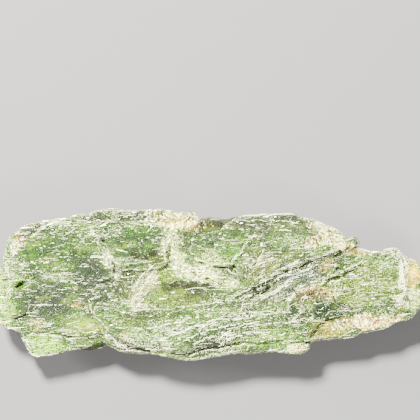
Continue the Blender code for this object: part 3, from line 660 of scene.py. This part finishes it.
def paint(places, normals):
    """The stone's colour at each place, and its shares of frost, rubble, dark (painted shade), deep and calm.
    """
    flat = places[:, :2]
    level = np.clip((places[:, 2] - FACE_LEVEL + PAINT_START) / PAINT_BLEND, 0.0, 1.0)
    facing = level * np.clip(normals[:, 2] * PAINT_TILT, 0.0, 1.0)
    green = np.array(COLOURS["sage"]) * (1.0 + 0.25 * drift(places, "green")[:, None])
    colour = mixed_in(unseen_colour(places, green), green, facing)
    frost = FROST_LEVEL + FROST_DRIFT * drift(places, "frost")
    rubble = np.zeros(len(places))
    calm = np.zeros(len(places))

    wobble = np.zeros((len(places), 2))
    for reach, size, seed in WOBBLES:
        wobble += reach * np.column_stack([noise(places, size, seed), noise(places, size, seed + 1)])
    for name, (centre, half, turn, tone, strength, frosting) in PATCHES.items():
        share = patch_share(flat + wobble, centre, half, turn) * facing * strength
        colour = mixed_in(colour, COLOURS[tone], share)
        frost += share * frosting
        if name.startswith(RUBBLE_PATCHES):
            rubble = np.maximum(rubble, share)
        if name.startswith(CALM_PATCHES):
            calm = np.maximum(calm, share)
    # Painted shade on the plates behind the rim: they are turned umber and lose frost, and take a dark share
    # further on
    deep = np.zeros(len(places))
    sunken = np.clip((DEEP_LEVEL - places[:, 2]) / DEEP_BLEND, 0.0, 1.0)
    for centre, half, turn, tone, strength in DEEP_PATCHES_AND_SHADE.values():
        share = patch_share(flat + 2.2 * wobble, centre, half, turn, 0.8) * strength * sunken
        deep = np.maximum(deep, share)
        colour = mixed_in(colour, COLOURS[tone], share)
        frost -= 0.5 * share

    crest_frost = np.zeros(len(places))
    dark = np.zeros(len(places))
    broken = mask(places, "broken")
    for name, (route, width, _, strength) in CRESTS.items():
        waver = STRAIGHT_WAVER if name.startswith(STRAIGHT_CRESTS) else LINE_WAVER
        distance, side = route_distance(flat + waver * wobble, route)
        line = strength * np.exp(-((distance / (LINE_WIDTH * width)) ** 2)) * facing * broken
        crest_frost = np.maximum(crest_frost, line)
        # Painted shade: a dark band beside each crest, on one side of it
        shade = np.exp(-(((distance - SHADE_OFFSET * width) / (SHADE_WIDTH * width)) ** 2)) * (side < 0)
        dark = np.maximum(dark, SHADE_SHARE * strength * shade * facing * broken)
    # Painted shade: darker in the cracks, the pits, the hollows of the rubble and on the plates behind the
    # rim
    for route, width, _ in CRACKS.values():
        distance, _ = route_distance(flat, route)
        dark = np.maximum(dark, np.exp(-((distance / (1.3 * width)) ** 2)) * facing)
    for centre, radius, _ in PITS.values():
        distance = spot_distance(flat, centre)
        dark = np.maximum(dark, 0.75 * np.clip(1.4 - distance / radius, 0.0, 1.0) * facing)
    dark = np.maximum(dark, 0.9 * mask(places, "hollows") * rubble)
    dark = np.maximum(dark, 0.6 * deep)
    calm = np.maximum(calm, deep)
    frost = np.clip(frost + FROST_ON_CRESTS * crest_frost - FROST_IN_PAINTED_SHADE * dark, 0.0, 1.0)
    return {"colour": colour, "frost": frost, "rubble": rubble, "dark": dark, "deep": deep, "calm": calm}


def thin_edge(places):
    """How near the rim of the stone's outline each place is, where a paler glow is painted for light coming
    through: 0 to 1.
    """
    outline = STONE["rim_tree"]
    share = np.zeros(len(places))
    for number, (x, y, z) in enumerate(places):
        if z < BACK_LEVEL - RIM_DEPTH:
            continue
        gap = outline.find((x, y, 0.0))[2]
        share[number] = max(0.0, 1.0 - gap / RIM_GLOW)
    return share


def rim_tree(places):
    """A search tree of the stone's outermost points seen from above, one on each side of each slice."""
    points = []
    for along, across in ((0, 1), (1, 0)):
        slices = np.round(places[:, along] / RIM_SLICE).astype(int)
        order = np.argsort(slices)
        starts = np.flatnonzero(np.diff(slices[order], prepend=slices[order][0] - 1))
        for group in np.split(order, starts[1:]):
            rows = places[group]
            points += [rows[np.argmin(rows[:, across])], rows[np.argmax(rows[:, across])]]
    tree = KDTree(len(points))
    for number, point in enumerate(points):
        tree.insert((point[0], point[1], 0.0), number)
    tree.balance()
    return tree


def write_tint(mesh, colours):
    """Gives each point of a mesh its own colour."""
    rows = np.column_stack([np.clip(colours, 0.0, 1.0), np.ones(len(colours))])
    mesh.attributes.new("tint", "FLOAT_COLOR", "POINT").data.foreach_set("color", rows.ravel())


def write_attributes(mesh, colours, grain, **shares):
    """Gives each point its colour, its place in the grain and the named shares."""
    write_tint(mesh, colours)
    mesh.attributes.new("grain_place", "FLOAT_VECTOR", "POINT").data.foreach_set("vector", grain.ravel())
    for name, share in shares.items():
        mesh.attributes.new(name, "FLOAT", "POINT").data.foreach_set("value", share)


class Shader:
    """A short way to add nodes to a material and join them."""

    def __init__(self, name):
        self.material = bpy.data.materials.new(name)
        self.material.use_nodes = True
        self.tree = self.material.node_tree
        self.surface = self.tree.nodes["Principled BSDF"]

    def add(self, kind, **values):
        node = self.tree.nodes.new(kind)
        for name, value in values.items():
            setattr(node, name, value)
        return node

    def join(self, output, socket):
        self.tree.links.new(output, socket)

    def attribute(self, name, output):
        return self.add("ShaderNodeAttribute", attribute_name=name).outputs[output]

    def noise(self, place, scale, detail=3.0, roughness=0.55):
        """Noise whose lumps are 1 / scale millimetres along each axis of the place."""
        mapping = self.add("ShaderNodeMapping")
        mapping.inputs["Scale"].default_value = scale
        self.join(place, mapping.inputs["Vector"])
        texture = self.add("ShaderNodeTexNoise")
        texture.inputs["Scale"].default_value = 1.0
        texture.inputs["Detail"].default_value = detail
        texture.inputs["Roughness"].default_value = roughness
        self.join(mapping.outputs["Vector"], texture.inputs["Vector"])
        return texture.outputs["Fac"]

    def spread(self, value, low, high, to_low=0.0, to_high=1.0):
        """The value stretched from one range to another, and held inside it."""
        node = self.add("ShaderNodeMapRange", clamp=True)
        for name, number in zip(("From Min", "From Max", "To Min", "To Max"), (low, high, to_low, to_high)):
            node.inputs[name].default_value = number
        self.join(value, node.inputs["Value"])
        return node.outputs["Result"]

    def maths(self, operation, first, second):
        """Two values, or a value and a number, joined by one operation."""
        node = self.add("ShaderNodeMath", operation=operation, use_clamp=False)
        for socket, value in zip(node.inputs, (first, second)):
            if isinstance(value, (int, float)):
                socket.default_value = value
            else:
                self.join(value, socket)
        return node.outputs[0]

    def centred(self, value, strength):
        """Noise moved from round a half to round nothing, times a strength."""
        return self.maths("MULTIPLY", self.maths("SUBTRACT", value, 0.5), strength)

    def blend(self, share, first, second, mode="MIX"):
        """The first colour turned towards the second by a share."""
        node = self.add("ShaderNodeMix", data_type="RGBA", blend_type=mode, clamp_result=False)
        sockets = {socket.identifier: socket for socket in node.inputs}
        for key, value in (("Factor_Float", share), ("A_Color", first), ("B_Color", second)):
            if isinstance(value, (int, float)):
                sockets[key].default_value = value
            elif isinstance(value, tuple):
                sockets[key].default_value = (*value, 1.0)
            else:
                self.join(value, sockets[key])
        return next(socket for socket in node.outputs if socket.identifier == "Result_Color")

    def bump(self, height, distance):
        """The surface's normal, tilted by a height that shades as if it were this deep."""
        node = self.add("ShaderNodeBump")
        node.inputs["Strength"].default_value = 1.0
        node.inputs["Distance"].default_value = distance
        self.join(height, node.inputs["Height"])
        return node.outputs["Normal"]

    def let_light_in(self, ior, radius, depth):
        """Sets how the surface bends light, and how far the light spreads under it."""
        self.surface.inputs["IOR"].default_value = ior
        self.surface.inputs["Subsurface Weight"].default_value = 0.05
        self.surface.inputs["Subsurface Radius"].default_value = radius
        self.surface.inputs["Subsurface Scale"].default_value = depth * MM


def kyanite_material(settings):
    """Green cleavage faces under sugary frost, with hair-fine striations along the grain."""
    shader = Shader("kyanite_cleavage")
    place = shader.attribute("grain_place", "Vector")
    tint = shader.attribute("tint", "Color")
    frost = shader.attribute("frost", "Fac")
    dark = shader.attribute("dark", "Fac")

    lumps = {name: shader.noise(place, *values) for name, values in GRAIN_NOISES.items()}
    hairs = shader.maths("MULTIPLY", lumps["hairs"], GRAIN_SHARES["hairs"])
    sugar = shader.maths("MULTIPLY", lumps["sugar"], GRAIN_SHARES["sugar"])
    grain = shader.maths("ADD", hairs, sugar)
    for name in ("dust", "mottle"):
        grain = shader.maths("ADD", grain, shader.centred(lumps[name], GRAIN_SHARES[name]))
    liveliness = shader.maths(
        "MULTIPLY", shader.spread(shader.attribute("calm", "Fac"), *CALM_TO_LIVELINESS),
        shader.spread(frost, *FROST_TO_LIVELINESS),
    )
    grain = shader.maths("ADD", 0.5, shader.centred(grain, liveliness))

    depth = shader.blend(shader.spread(grain, *GRAIN_TO_DEPTH), (0.0, 0.0, 0.0), (1.0, 1.0, 1.0))
    colour = shader.blend(1.0, tint, depth, "MULTIPLY")
    for shade, values in (("deep_shade", CLOUD_TO_DEEP_SHADE), ("golden_shade", CLOUD_TO_GOLDEN_SHADE)):
        colour = shader.blend(shader.spread(lumps["clouds"], *values), colour, COLOURS[shade])
    haze = shader.spread(frost, *FROST_TO_HAZE)
    colour = shader.blend(haze, colour, shader.blend(HAZE_TINT, COLOURS["frost"], tint))
    gaps = shader.spread(grain, *GAP_RANGE, 0.0, settings.gaps)
    colour = shader.blend(gaps, colour, COLOURS["gap"])
    lift = shader.maths("MULTIPLY", shader.maths("SUBTRACT", frost, FROST_MIDDLE), FROST_LIFT)
    white = shader.spread(shader.maths("ADD", grain, lift), *SUGAR_RANGE, 0.0, settings.sugar)
    colour = shader.blend(white, colour, COLOURS["frost"])
    # Painted shade: the dark share turns the colour towards the gap colour
    colour = shader.blend(shader.maths("MULTIPLY", dark, PAINTED_SHADE_STRENGTH), colour, COLOURS["gap"])
    shader.join(colour, shader.surface.inputs["Base Color"])

    dusty = shader.maths("ADD", lumps["dust"], shader.maths("MULTIPLY", frost, 0.3))
    shader.join(shader.spread(dusty, *GRAIN_TO_ROUGHNESS), shader.surface.inputs["Roughness"])
    relief = shader.maths("ADD", grain, shader.maths("MULTIPLY", lumps["dust"], 0.12))
    shader.join(shader.bump(relief, BUMP_DISTANCE * MM), shader.surface.inputs["Normal"])
    shader.surface.inputs["Specular IOR Level"].default_value = 0.3
    shader.let_light_in(1.55, (0.5, 0.8, 0.35), 0.7)
    return shader.material


def glassy_material(name, roughness, whiteness):
    """Thin cleaved sheets: the tint under them, whitened and with a pearly gloss."""
    shader = Shader(name)
    coordinates = shader.add("ShaderNodeTexCoord")
    tint = shader.attribute("tint", "Color")
    cloud = shader.noise(coordinates.outputs["Object"], (4000.0, 7000.0, 7000.0), 2.0)
    share = shader.spread(cloud, 0.35, 0.65, max(0.0, whiteness - 0.2), whiteness + 0.2)
    shader.join(shader.blend(share, tint, COLOURS["frost"]), shader.surface.inputs["Base Color"])
    rough = shader.spread(cloud, 0.3, 0.7, roughness, roughness + 0.2)
    shader.join(rough, shader.surface.inputs["Roughness"])
    shader.let_light_in(1.65, (0.6, 0.8, 0.4), 0.4)
    return shader.material


def surface_spots(count, rng, wanted):
    """Random faces of the stone, picked by their area and by how much each one is wanted.

    Each face is given as its place, its normal, the turn of its grain and its colour.
    """
    names = ("face_places", "face_normals", "face_turns", "face_colours")
    edges = np.cumsum(STONE["face_areas"] * wanted)
    draws = np.array([rng.random() for _ in range(count)]) * edges[-1]
    for face in np.searchsorted(edges, draws).tolist():
        yield tuple(STONE[name][face] for name in names)


def drawn_length(rng, middle, spread, longest):
    """A random length. Most are near the middle one, and none is over the longest."""
    return min(rng.lognormvariate(math.log(middle), spread), longest)


def whitened(colour, share, light=1.0, pale="frost"):
    """A colour blended towards a pale one, then made lighter or darker."""
    return np.clip((np.array(colour) * (1.0 - share) + np.array(COLOURS[pale]) * share) * light, 0.0, 1.0)


def turned_to(normal, along_degrees, tip_degrees, rng):
    """A turn that lays a shape's Z on the normal and its X on the grain, then tips it a little."""
    up = Vector(normal)
    along = Vector((math.cos(math.radians(along_degrees)), math.sin(math.radians(along_degrees)), 0.0))
    along = (along - up * along.dot(up))
    along = along.normalized() if along.length > 0.1 else up.orthogonal().normalized()
    across = up.cross(along)
    basis = Matrix((along, across, up)).transposed()
    tip = Matrix.Rotation(math.radians(rng.uniform(-tip_degrees, tip_degrees)), 3, "X")
    tilt = Matrix.Rotation(math.radians(rng.uniform(-tip_degrees, tip_degrees)), 3, "Y")
    return basis @ tip @ tilt


def scattered_piece(name, shapes, material):
    """One mesh from many small shapes: (what makes it, its matrix in mm, its colour)."""
    whole = bmesh.new()
    batch = 120
    colours = []
    for start in range(0, len(shapes), batch):
        block = bmesh.new()
        for make, matrix, colour in shapes[start:start + batch]:
            made = make(block, matrix)
            colours += [colour] * len(made)
        block_mesh = bpy.data.meshes.new("block")
        block.to_mesh(block_mesh)
        block.free()
        whole.from_mesh(block_mesh)
        bpy.data.meshes.remove(block_mesh)
    for vert in whole.verts:
        vert.co = held_in_box(vert.co)
    bmesh.ops.scale(whole, verts=whole.verts, vec=(MM, MM, MM))
    mesh = bpy.data.meshes.new(name)
    whole.to_mesh(mesh)
    whole.free()
    write_tint(mesh, colours)
    mesh.materials.append(material)
    piece = bpy.data.objects.new(name, mesh)
    bpy.context.scene.collection.objects.link(piece)
    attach(piece, "root")
    return piece


def make_sheet(block, matrix):
    return bmesh.ops.create_cube(block, size=1.0, matrix=matrix)["verts"]


def make_rod(block, matrix, sides, tip):
    """A tapered rod, one unit wide at its foot and one unit long before its matrix sizes it."""
    return bmesh.ops.create_cone(
        block, segments=sides, radius1=0.5, radius2=tip, depth=1.0, cap_ends=True, matrix=matrix,
    )["verts"]


def make_needle(block, matrix):
    return make_rod(block, matrix, 4, 0.16)


def make_hair(block, matrix):
    return make_rod(block, matrix, 3, 0.25)


def make_grain(block, matrix):
    return bmesh.ops.create_icosphere(block, subdivisions=1, radius=0.5, matrix=matrix)["verts"]


def placed(place, turn, size):
    """The matrix of a small shape of a size, turned and put at a place, all in mm."""
    return Matrix.Translation(Vector(place)) @ turn.to_4x4() @ Matrix.Diagonal((*size, 1.0))


def straight_down(spot):
    """Where a line straight down at a spot first meets the stone, and the normal there. Both may be None."""
    return STONE["tree"].ray_cast((spot.x, spot.y, CAD_HIGH.z / MM + 1.0), (0.0, 0.0, -1.0))[:2]


def over_stone(place):
    """Whether both ends of a rod lie inside the stone's outline, seen from above."""
    ends = [place @ Vector((0.0, 0.0, end)) for end in (-0.5, 0.5)]
    return all(straight_down(end)[0] is not None for end in ends)


class StoneSettings(bpy.types.PropertyGroup):
    voxel: bpy.props.FloatProperty(
        name="Face size", description="Size of the stone's refined faces, in millimetres", default=0.165,
        min=0.1,
    )
    striation: bpy.props.FloatProperty(
        name="Striation", description="Height of the striations, in millimetres", default=0.042, min=0.0,
    )
    colour_depth: bpy.props.FloatProperty(
        name="Colour depth", description="How deep and saturated the mineral colours are", default=2.65,
        min=0.5,
    )
    sugar: bpy.props.FloatProperty(
        name="Sugar", description="How white the sugary grains look", default=0.95, min=0.0, max=1.0,
    )
    gaps: bpy.props.FloatProperty(
        name="Gaps", description="How dark the gaps between grains look", default=0.95, min=0.0, max=1.0,
    )


class GrowthSettings(bpy.types.PropertyGroup):
    sheets: bpy.props.IntProperty(
        name="Cleavage sheets", description="How many small cleaved sheets lie on the stone", default=5000,
    )
    splinters: bpy.props.IntProperty(
        name="Splinters", description="How many splinters follow the grain", default=1300,
    )
    hairs: bpy.props.IntProperty(
        name="Hairs", description="How many hair-thin needles lie along the grain of the broad face",
        default=1500,
    )
    grains: bpy.props.IntProperty(
        name="Matrix grains", description="How many grains of pale matrix lie on the rubble", default=1600,
    )
    shards: bpy.props.FloatProperty(
        name="Shards", description="Needles and shards for each millimetre of a crest", default=2.6, min=0.0,
    )


class StageSettings(bpy.types.PropertyGroup):
    floor_colour: bpy.props.FloatVectorProperty(
        name="Floor", description="Colour of the floor", subtype="COLOR", default=(0.064, 0.064, 0.067),
    )
    camera_height: bpy.props.FloatProperty(
        name="Camera height", description="How high the camera hangs", default=0.32, subtype="DISTANCE",
    )


class KYANITE_OT_stone(bpy.types.Operator):
    """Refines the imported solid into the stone's striated, stepped and cracked surface"""

    bl_idname = "kyanite.stone"
    bl_label = "Stone"

    def execute(self, context):
        settings = context.scene.kyanite_stone
        stone = refined_copy("kyanite_stone", settings.voxel)
        mesh = stone.data
        places = read_rows(mesh.vertices, "co") / MM
        normals = read_rows(mesh.vertex_normals, "vector")
        rubble = paint(places, normals)["rubble"]
        places = carve(places, normals, rubble, settings)
        set_places(mesh, places)

        STONE["rim_tree"] = rim_tree(places)
        looks = paint(places, read_rows(mesh.vertex_normals, "vector"))
        colour = np.clip(looks["colour"], 0.0, 1.0) ** settings.colour_depth
        # Painted light: near the thin rim the colour is turned paler and frostier, a painted glow for light
        # coming through
        edge = thin_edge(places) * (1.0 - looks["deep"])
        painted_glow = PAINTED_GLOW_PALENESS * np.array(COLOURS["frost"]) + (1.0 - PAINTED_GLOW_PALENESS) * colour
        colour = mixed_in(colour, painted_glow, edge * PAINTED_GLOW_SHARE)
        frost = np.clip(looks["frost"] + PAINTED_GLOW_FROST * edge, 0.0, 1.0)
        # The dark share carries the painted shade
        shares = {"frost": frost, "dark": looks["dark"], "calm": looks["calm"]}
        write_attributes(mesh, colour, grain_places(places), **shares)
        mesh.shade_smooth()
        mesh.materials.clear()
        mesh.materials.append(kyanite_material(settings))
        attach(stone, "root")
        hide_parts(NODE)

        STONE["face_places"] = read_rows(mesh.polygons, "center") / MM
        STONE["face_normals"] = read_rows(mesh.polygons, "normal")
        STONE["face_areas"] = read_rows(mesh.polygons, "area", 1)[:, 0]
        first = np.array([polygon.vertices[0] for polygon in mesh.polygons])
        for name, values in (
            ("face_colours", colour), ("face_frost", frost), ("face_rubble", rubble), ("face_edge", edge),
            ("face_bare", 1.0 - looks["deep"]), ("face_turns", grain_turn(places)),
        ):
            STONE[name] = values[first]
        STONE["tree"] = BVHTree.FromPolygons(
            [tuple(place) for place in places], [tuple(polygon.vertices) for polygon in mesh.polygons],
        )
        return {"FINISHED"}


class KYANITE_OT_sheets(bpy.types.Operator):
    """Scatters small cleaved sheets that glint, laid along the grain"""

    bl_idname = "kyanite.sheets"
    bl_label = "Cleavage sheets"

    def execute(self, context):
        rng = random.Random(31)
        raised = np.where(STONE["face_places"][:, 2] > 0.15, 1.0, 0.0)
        wanted = (1.15 - STONE["face_frost"] * 0.5 - STONE["face_rubble"] * 0.6) * raised * STONE["face_bare"]
        shapes = []
        spots = surface_spots(context.scene.kyanite_growth.sheets, rng, wanted)
        for place, normal, grain, colour in spots:
            length = drawn_length(rng, *SHEET_LENGTH)
            size = (length, rng.uniform(*SHEET_WIDTH), rng.uniform(*SHEET_THICKNESS))
            turn = turned_to(normal, grain + rng.gauss(0, 8), 22.0, rng)
            tone = whitened(colour, rng.random() ** 6.0, rng.uniform(*SHEET_LIGHT))
            shapes.append((make_sheet, placed(place, turn, size), tone))
        scattered_piece("cleavage_sheets", shapes, glassy_material("cleavage_glint", 0.16, 0.0))
        return {"FINISHED"}


class KYANITE_OT_splinters(bpy.types.Operator):
    """Lays splinters on the broken flanks and rims, and hair-thin pale needles over the broad face"""

    bl_idname = "kyanite.splinters"
    bl_label = "Splinters"

    def execute(self, context):
        rng = random.Random(32)
        growth = context.scene.kyanite_growth
        sideways = 1.0 - np.abs(STONE["face_normals"][:, 2])
        raised = np.where(STONE["face_places"][:, 2] > 0.3, 1.0, 0.0)
        wanted = raised * (0.03 + 1.2 * sideways + 0.4 * STONE["face_edge"]) * STONE["face_bare"]
        shapes = []
        for spot, normal, _, colour in surface_spots(growth.splinters, rng, wanted):
            length = drawn_length(rng, *SPLINTER_LENGTH) * (1.0 - 0.8 * abs(normal[0]))
            thick = rng.uniform(*SPLINTER_THICKNESS)
            turn = turned_to(normal, rng.gauss(0.0, 6.0), 5.0, rng) @ LIE_DOWN
            tone = whitened(colour, rng.random() ** 2, rng.uniform(*SPLINTER_LIGHT))
            place = placed(spot, turn, (thick, thick * 1.4, length))
            if over_stone(place):
                shapes.append((make_needle, place, tone))
        scattered_piece("grain_splinters", shapes, glassy_material("splinter_gloss", 0.2, 0.1))

        facing = np.clip((STONE["face_places"][:, 2] - FACE_LEVEL) / FACE_BLEND, 0.0, 1.0)
        wanted = facing * np.clip(STONE["face_normals"][:, 2], 0.0, 1.0) * (0.1 + 1.4 * STONE["face_frost"])
        hairs = []
        for spot, normal, grain, colour in surface_spots(growth.hairs, rng, wanted):
            length = drawn_length(rng, *HAIR_LENGTH)
            thick = rng.uniform(*HAIR_THICKNESS)
            slant = rng.gauss(0.0, 5.0) if rng.random() < 0.75 else rng.gauss(18.0, 22.0)
            turn = turned_to(normal, grain + slant, 1.5, rng) @ LIE_DOWN
            tone = whitened(colour, rng.uniform(0.2, 1.0), NEEDLE_LIGHT)
            place = placed(spot, turn, (thick, thick, length))
            if over_stone(place):
                hairs.append((make_hair, place, tone))
        scattered_piece("grain_hairs", hairs, glassy_material("hair_frost", 0.3, 0.3))
        return {"FINISHED"}


class KYANITE_OT_shards(bpy.types.Operator):
    """Lays bright needles and a few torn shards along the named crests"""

    bl_idname = "kyanite.shards"
    bl_label = "Crest shards"

    def execute(self, context):
        rng = random.Random(33)
        shapes = []
        for route, width, _, strength in CRESTS.values():
            points = [Vector(on_stone(pixel)) for pixel in route]
            for start, end in zip(points, points[1:]):
                run = end - start
                heading = math.degrees(math.atan2(run.y, run.x))
                for _ in range(round(run.length * context.scene.kyanite_growth.shards * strength)):
                    spot = start.lerp(end, rng.random())
                    spot += Vector((rng.gauss(0.0, 0.5 * width), rng.gauss(0.0, 0.5 * width)))
                    hit, normal = straight_down(spot)
                    if hit is None or hit.z < FACE_LEVEL - 0.8:
                        continue
                    if rng.random() < 0.8:
                        turn = turned_to(normal, heading + rng.gauss(0.0, 14.0), 2.0, rng) @ LIE_DOWN
                        thick = rng.uniform(*NEEDLE_THICKNESS)
                        place = placed(hit, turn, (thick, thick, rng.uniform(*NEEDLE_LENGTH)))
                        if over_stone(place):
                            shapes.append((make_hair, place, whitened(COLOURS["frost"], 1.0, NEEDLE_LIGHT)))
                    else:
                        turn = turned_to(normal, heading + rng.gauss(0.0, 20.0), 25.0, rng)
                        size = [rng.uniform(*ends) for ends in SHARD_SIZE]
                        tone = whitened(COLOURS["frost"], 1.0, rng.uniform(*SHARD_LIGHT))
                        shapes.append((make_sheet, placed(hit, turn, size), tone))
        scattered_piece("crest_shards", shapes, glassy_material("shard_frost", 0.28, 0.4))
        return {"FINISHED"}


class KYANITE_OT_grains(bpy.types.Operator):
    """Crusts the rubble patches with angular grains of pale matrix"""

    bl_idname = "kyanite.grains"
    bl_label = "Matrix grains"

    def execute(self, context):
        rng = random.Random(34)
        wanted = np.clip(STONE["face_rubble"] * 1.3 - 0.15, 0.0, 1.0)
        shapes = []
        spots = surface_spots(context.scene.kyanite_growth.grains, rng, wanted)
        for place, normal, _, colour in spots:
            size = rng.uniform(*GRAIN_SIZE)
            turn = turned_to(normal, rng.uniform(0.0, 180.0), 40.0, rng)
            stretch = (size * rng.uniform(0.8, 1.6), size, size * rng.uniform(0.5, 0.9))
            pale = rng.random()
            if rng.random() < 0.07:
                tone = whitened(COLOURS["rust"], 0.3 * pale, rng.uniform(*RUST_LIGHT))
            else:
                tone = whitened(colour, 0.35 * pale, rng.choice(GRAIN_LIGHTS), "cream")
            shapes.append((make_grain, placed(place, turn, stretch), tone))
        scattered_piece("matrix_grains", shapes, glassy_material("matrix_sugar", 0.3, 0.1))
        return {"FINISHED"}


class KYANITE_OT_stage(bpy.types.Operator):
    """Lays the pale floor, hangs the camera over the broad face and sets soft light"""

    bl_idname = "kyanite.stage"
    bl_label = "Stage"

    def execute(self, context):
        settings = context.scene.kyanite_stage
        bm = bmesh.new()
        bmesh.ops.create_grid(bm, x_segments=1, y_segments=1, size=FLOOR_REACH)
        mesh = bpy.data.meshes.new("floor")
        bm.to_mesh(mesh)
        bm.free()
        floor = bpy.data.objects.new("floor", mesh)
        context.scene.collection.objects.link(floor)
        paper = Shader("floor_paper")
        paper.surface.inputs["Base Color"].default_value = (*settings.floor_colour, 1.0)
        paper.surface.inputs["Roughness"].default_value = 0.9
        mesh.materials.append(paper.material)

        seen = PHOTO_SIDE * MM_PER_PIXEL * MM
        middle = (STONE_CENTRE_PIXEL[1] - PHOTO_SIDE / 2) * MM_PER_PIXEL * MM
        face = CAD_HIGH.z * FACE_HEIGHT_SHARE
        camera = bpy.data.cameras.new("camera")
        camera.sensor_width = SENSOR_WIDTH
        camera.lens = camera.sensor_width * (settings.camera_height - face) / seen
        camera.clip_start, camera.clip_end = 0.01, 10.0
        holder = bpy.data.objects.new("camera", camera)
        holder.location = (0.0, middle, settings.camera_height)
        context.scene.collection.objects.link(holder)
        context.scene.camera = holder

        for name, (place, size, power) in LIGHTS.items():
            light = bpy.data.lights.new(name, "AREA")
            light.size = size
            light.energy = power
            light.color = LIGHT_COLOUR
            lamp = bpy.data.objects.new(name, light)
            lamp.location = place
            lamp.rotation_mode = "QUATERNION"
            lamp.rotation_quaternion = (-Vector(place)).to_track_quat("-Z", "Y")
            context.scene.collection.objects.link(lamp)

        world = bpy.data.worlds.new("soft_room")
        world.use_nodes = True
        world.node_tree.nodes["Background"].inputs["Color"].default_value = (1.0, 1.0, 1.0, 1.0)
        world.node_tree.nodes["Background"].inputs["Strength"].default_value = ROOM_LIGHT
        context.scene.world = world
        return {"FINISHED"}


class KYANITE_PT_panel(bpy.types.Panel):
    """Lists the settings and the steps that build the stone"""

    bl_idname = "KYANITE_PT_panel"
    bl_label = "Kyanite blade"
    bl_space_type = "VIEW_3D"
    bl_region_type = "UI"
    bl_category = "Kyanite"

    def draw(self, context):
        scene = context.scene
        for settings in (scene.kyanite_stone, scene.kyanite_growth, scene.kyanite_stage):
            for name in settings.__annotations__:
                self.layout.prop(settings, name)
        for operator in OPERATORS:
            self.layout.operator(operator.bl_idname)


SETTINGS = {
    "kyanite_stone": StoneSettings,
    "kyanite_growth": GrowthSettings,
    "kyanite_stage": StageSettings,
}
OPERATORS = (
    KYANITE_OT_stone, KYANITE_OT_sheets, KYANITE_OT_splinters, KYANITE_OT_shards, KYANITE_OT_grains,
    KYANITE_OT_stage,
)


def register():
    for kind in (*SETTINGS.values(), *OPERATORS, KYANITE_PT_panel):
        bpy.utils.register_class(kind)
    for name, kind in SETTINGS.items():
        setattr(bpy.types.Scene, name, bpy.props.PointerProperty(type=kind))


def unregister():
    for name in SETTINGS:
        delattr(bpy.types.Scene, name)
    for kind in (KYANITE_PT_panel, *reversed(OPERATORS), *SETTINGS.values()):
        bpy.utils.unregister_class(kind)


def main():
    register()
    bpy.ops.kyanite.stone()
    bpy.ops.kyanite.sheets()
    bpy.ops.kyanite.splinters()
    bpy.ops.kyanite.shards()
    bpy.ops.kyanite.grains()
    bpy.ops.kyanite.stage()


if __name__ == "__main__":
    main()
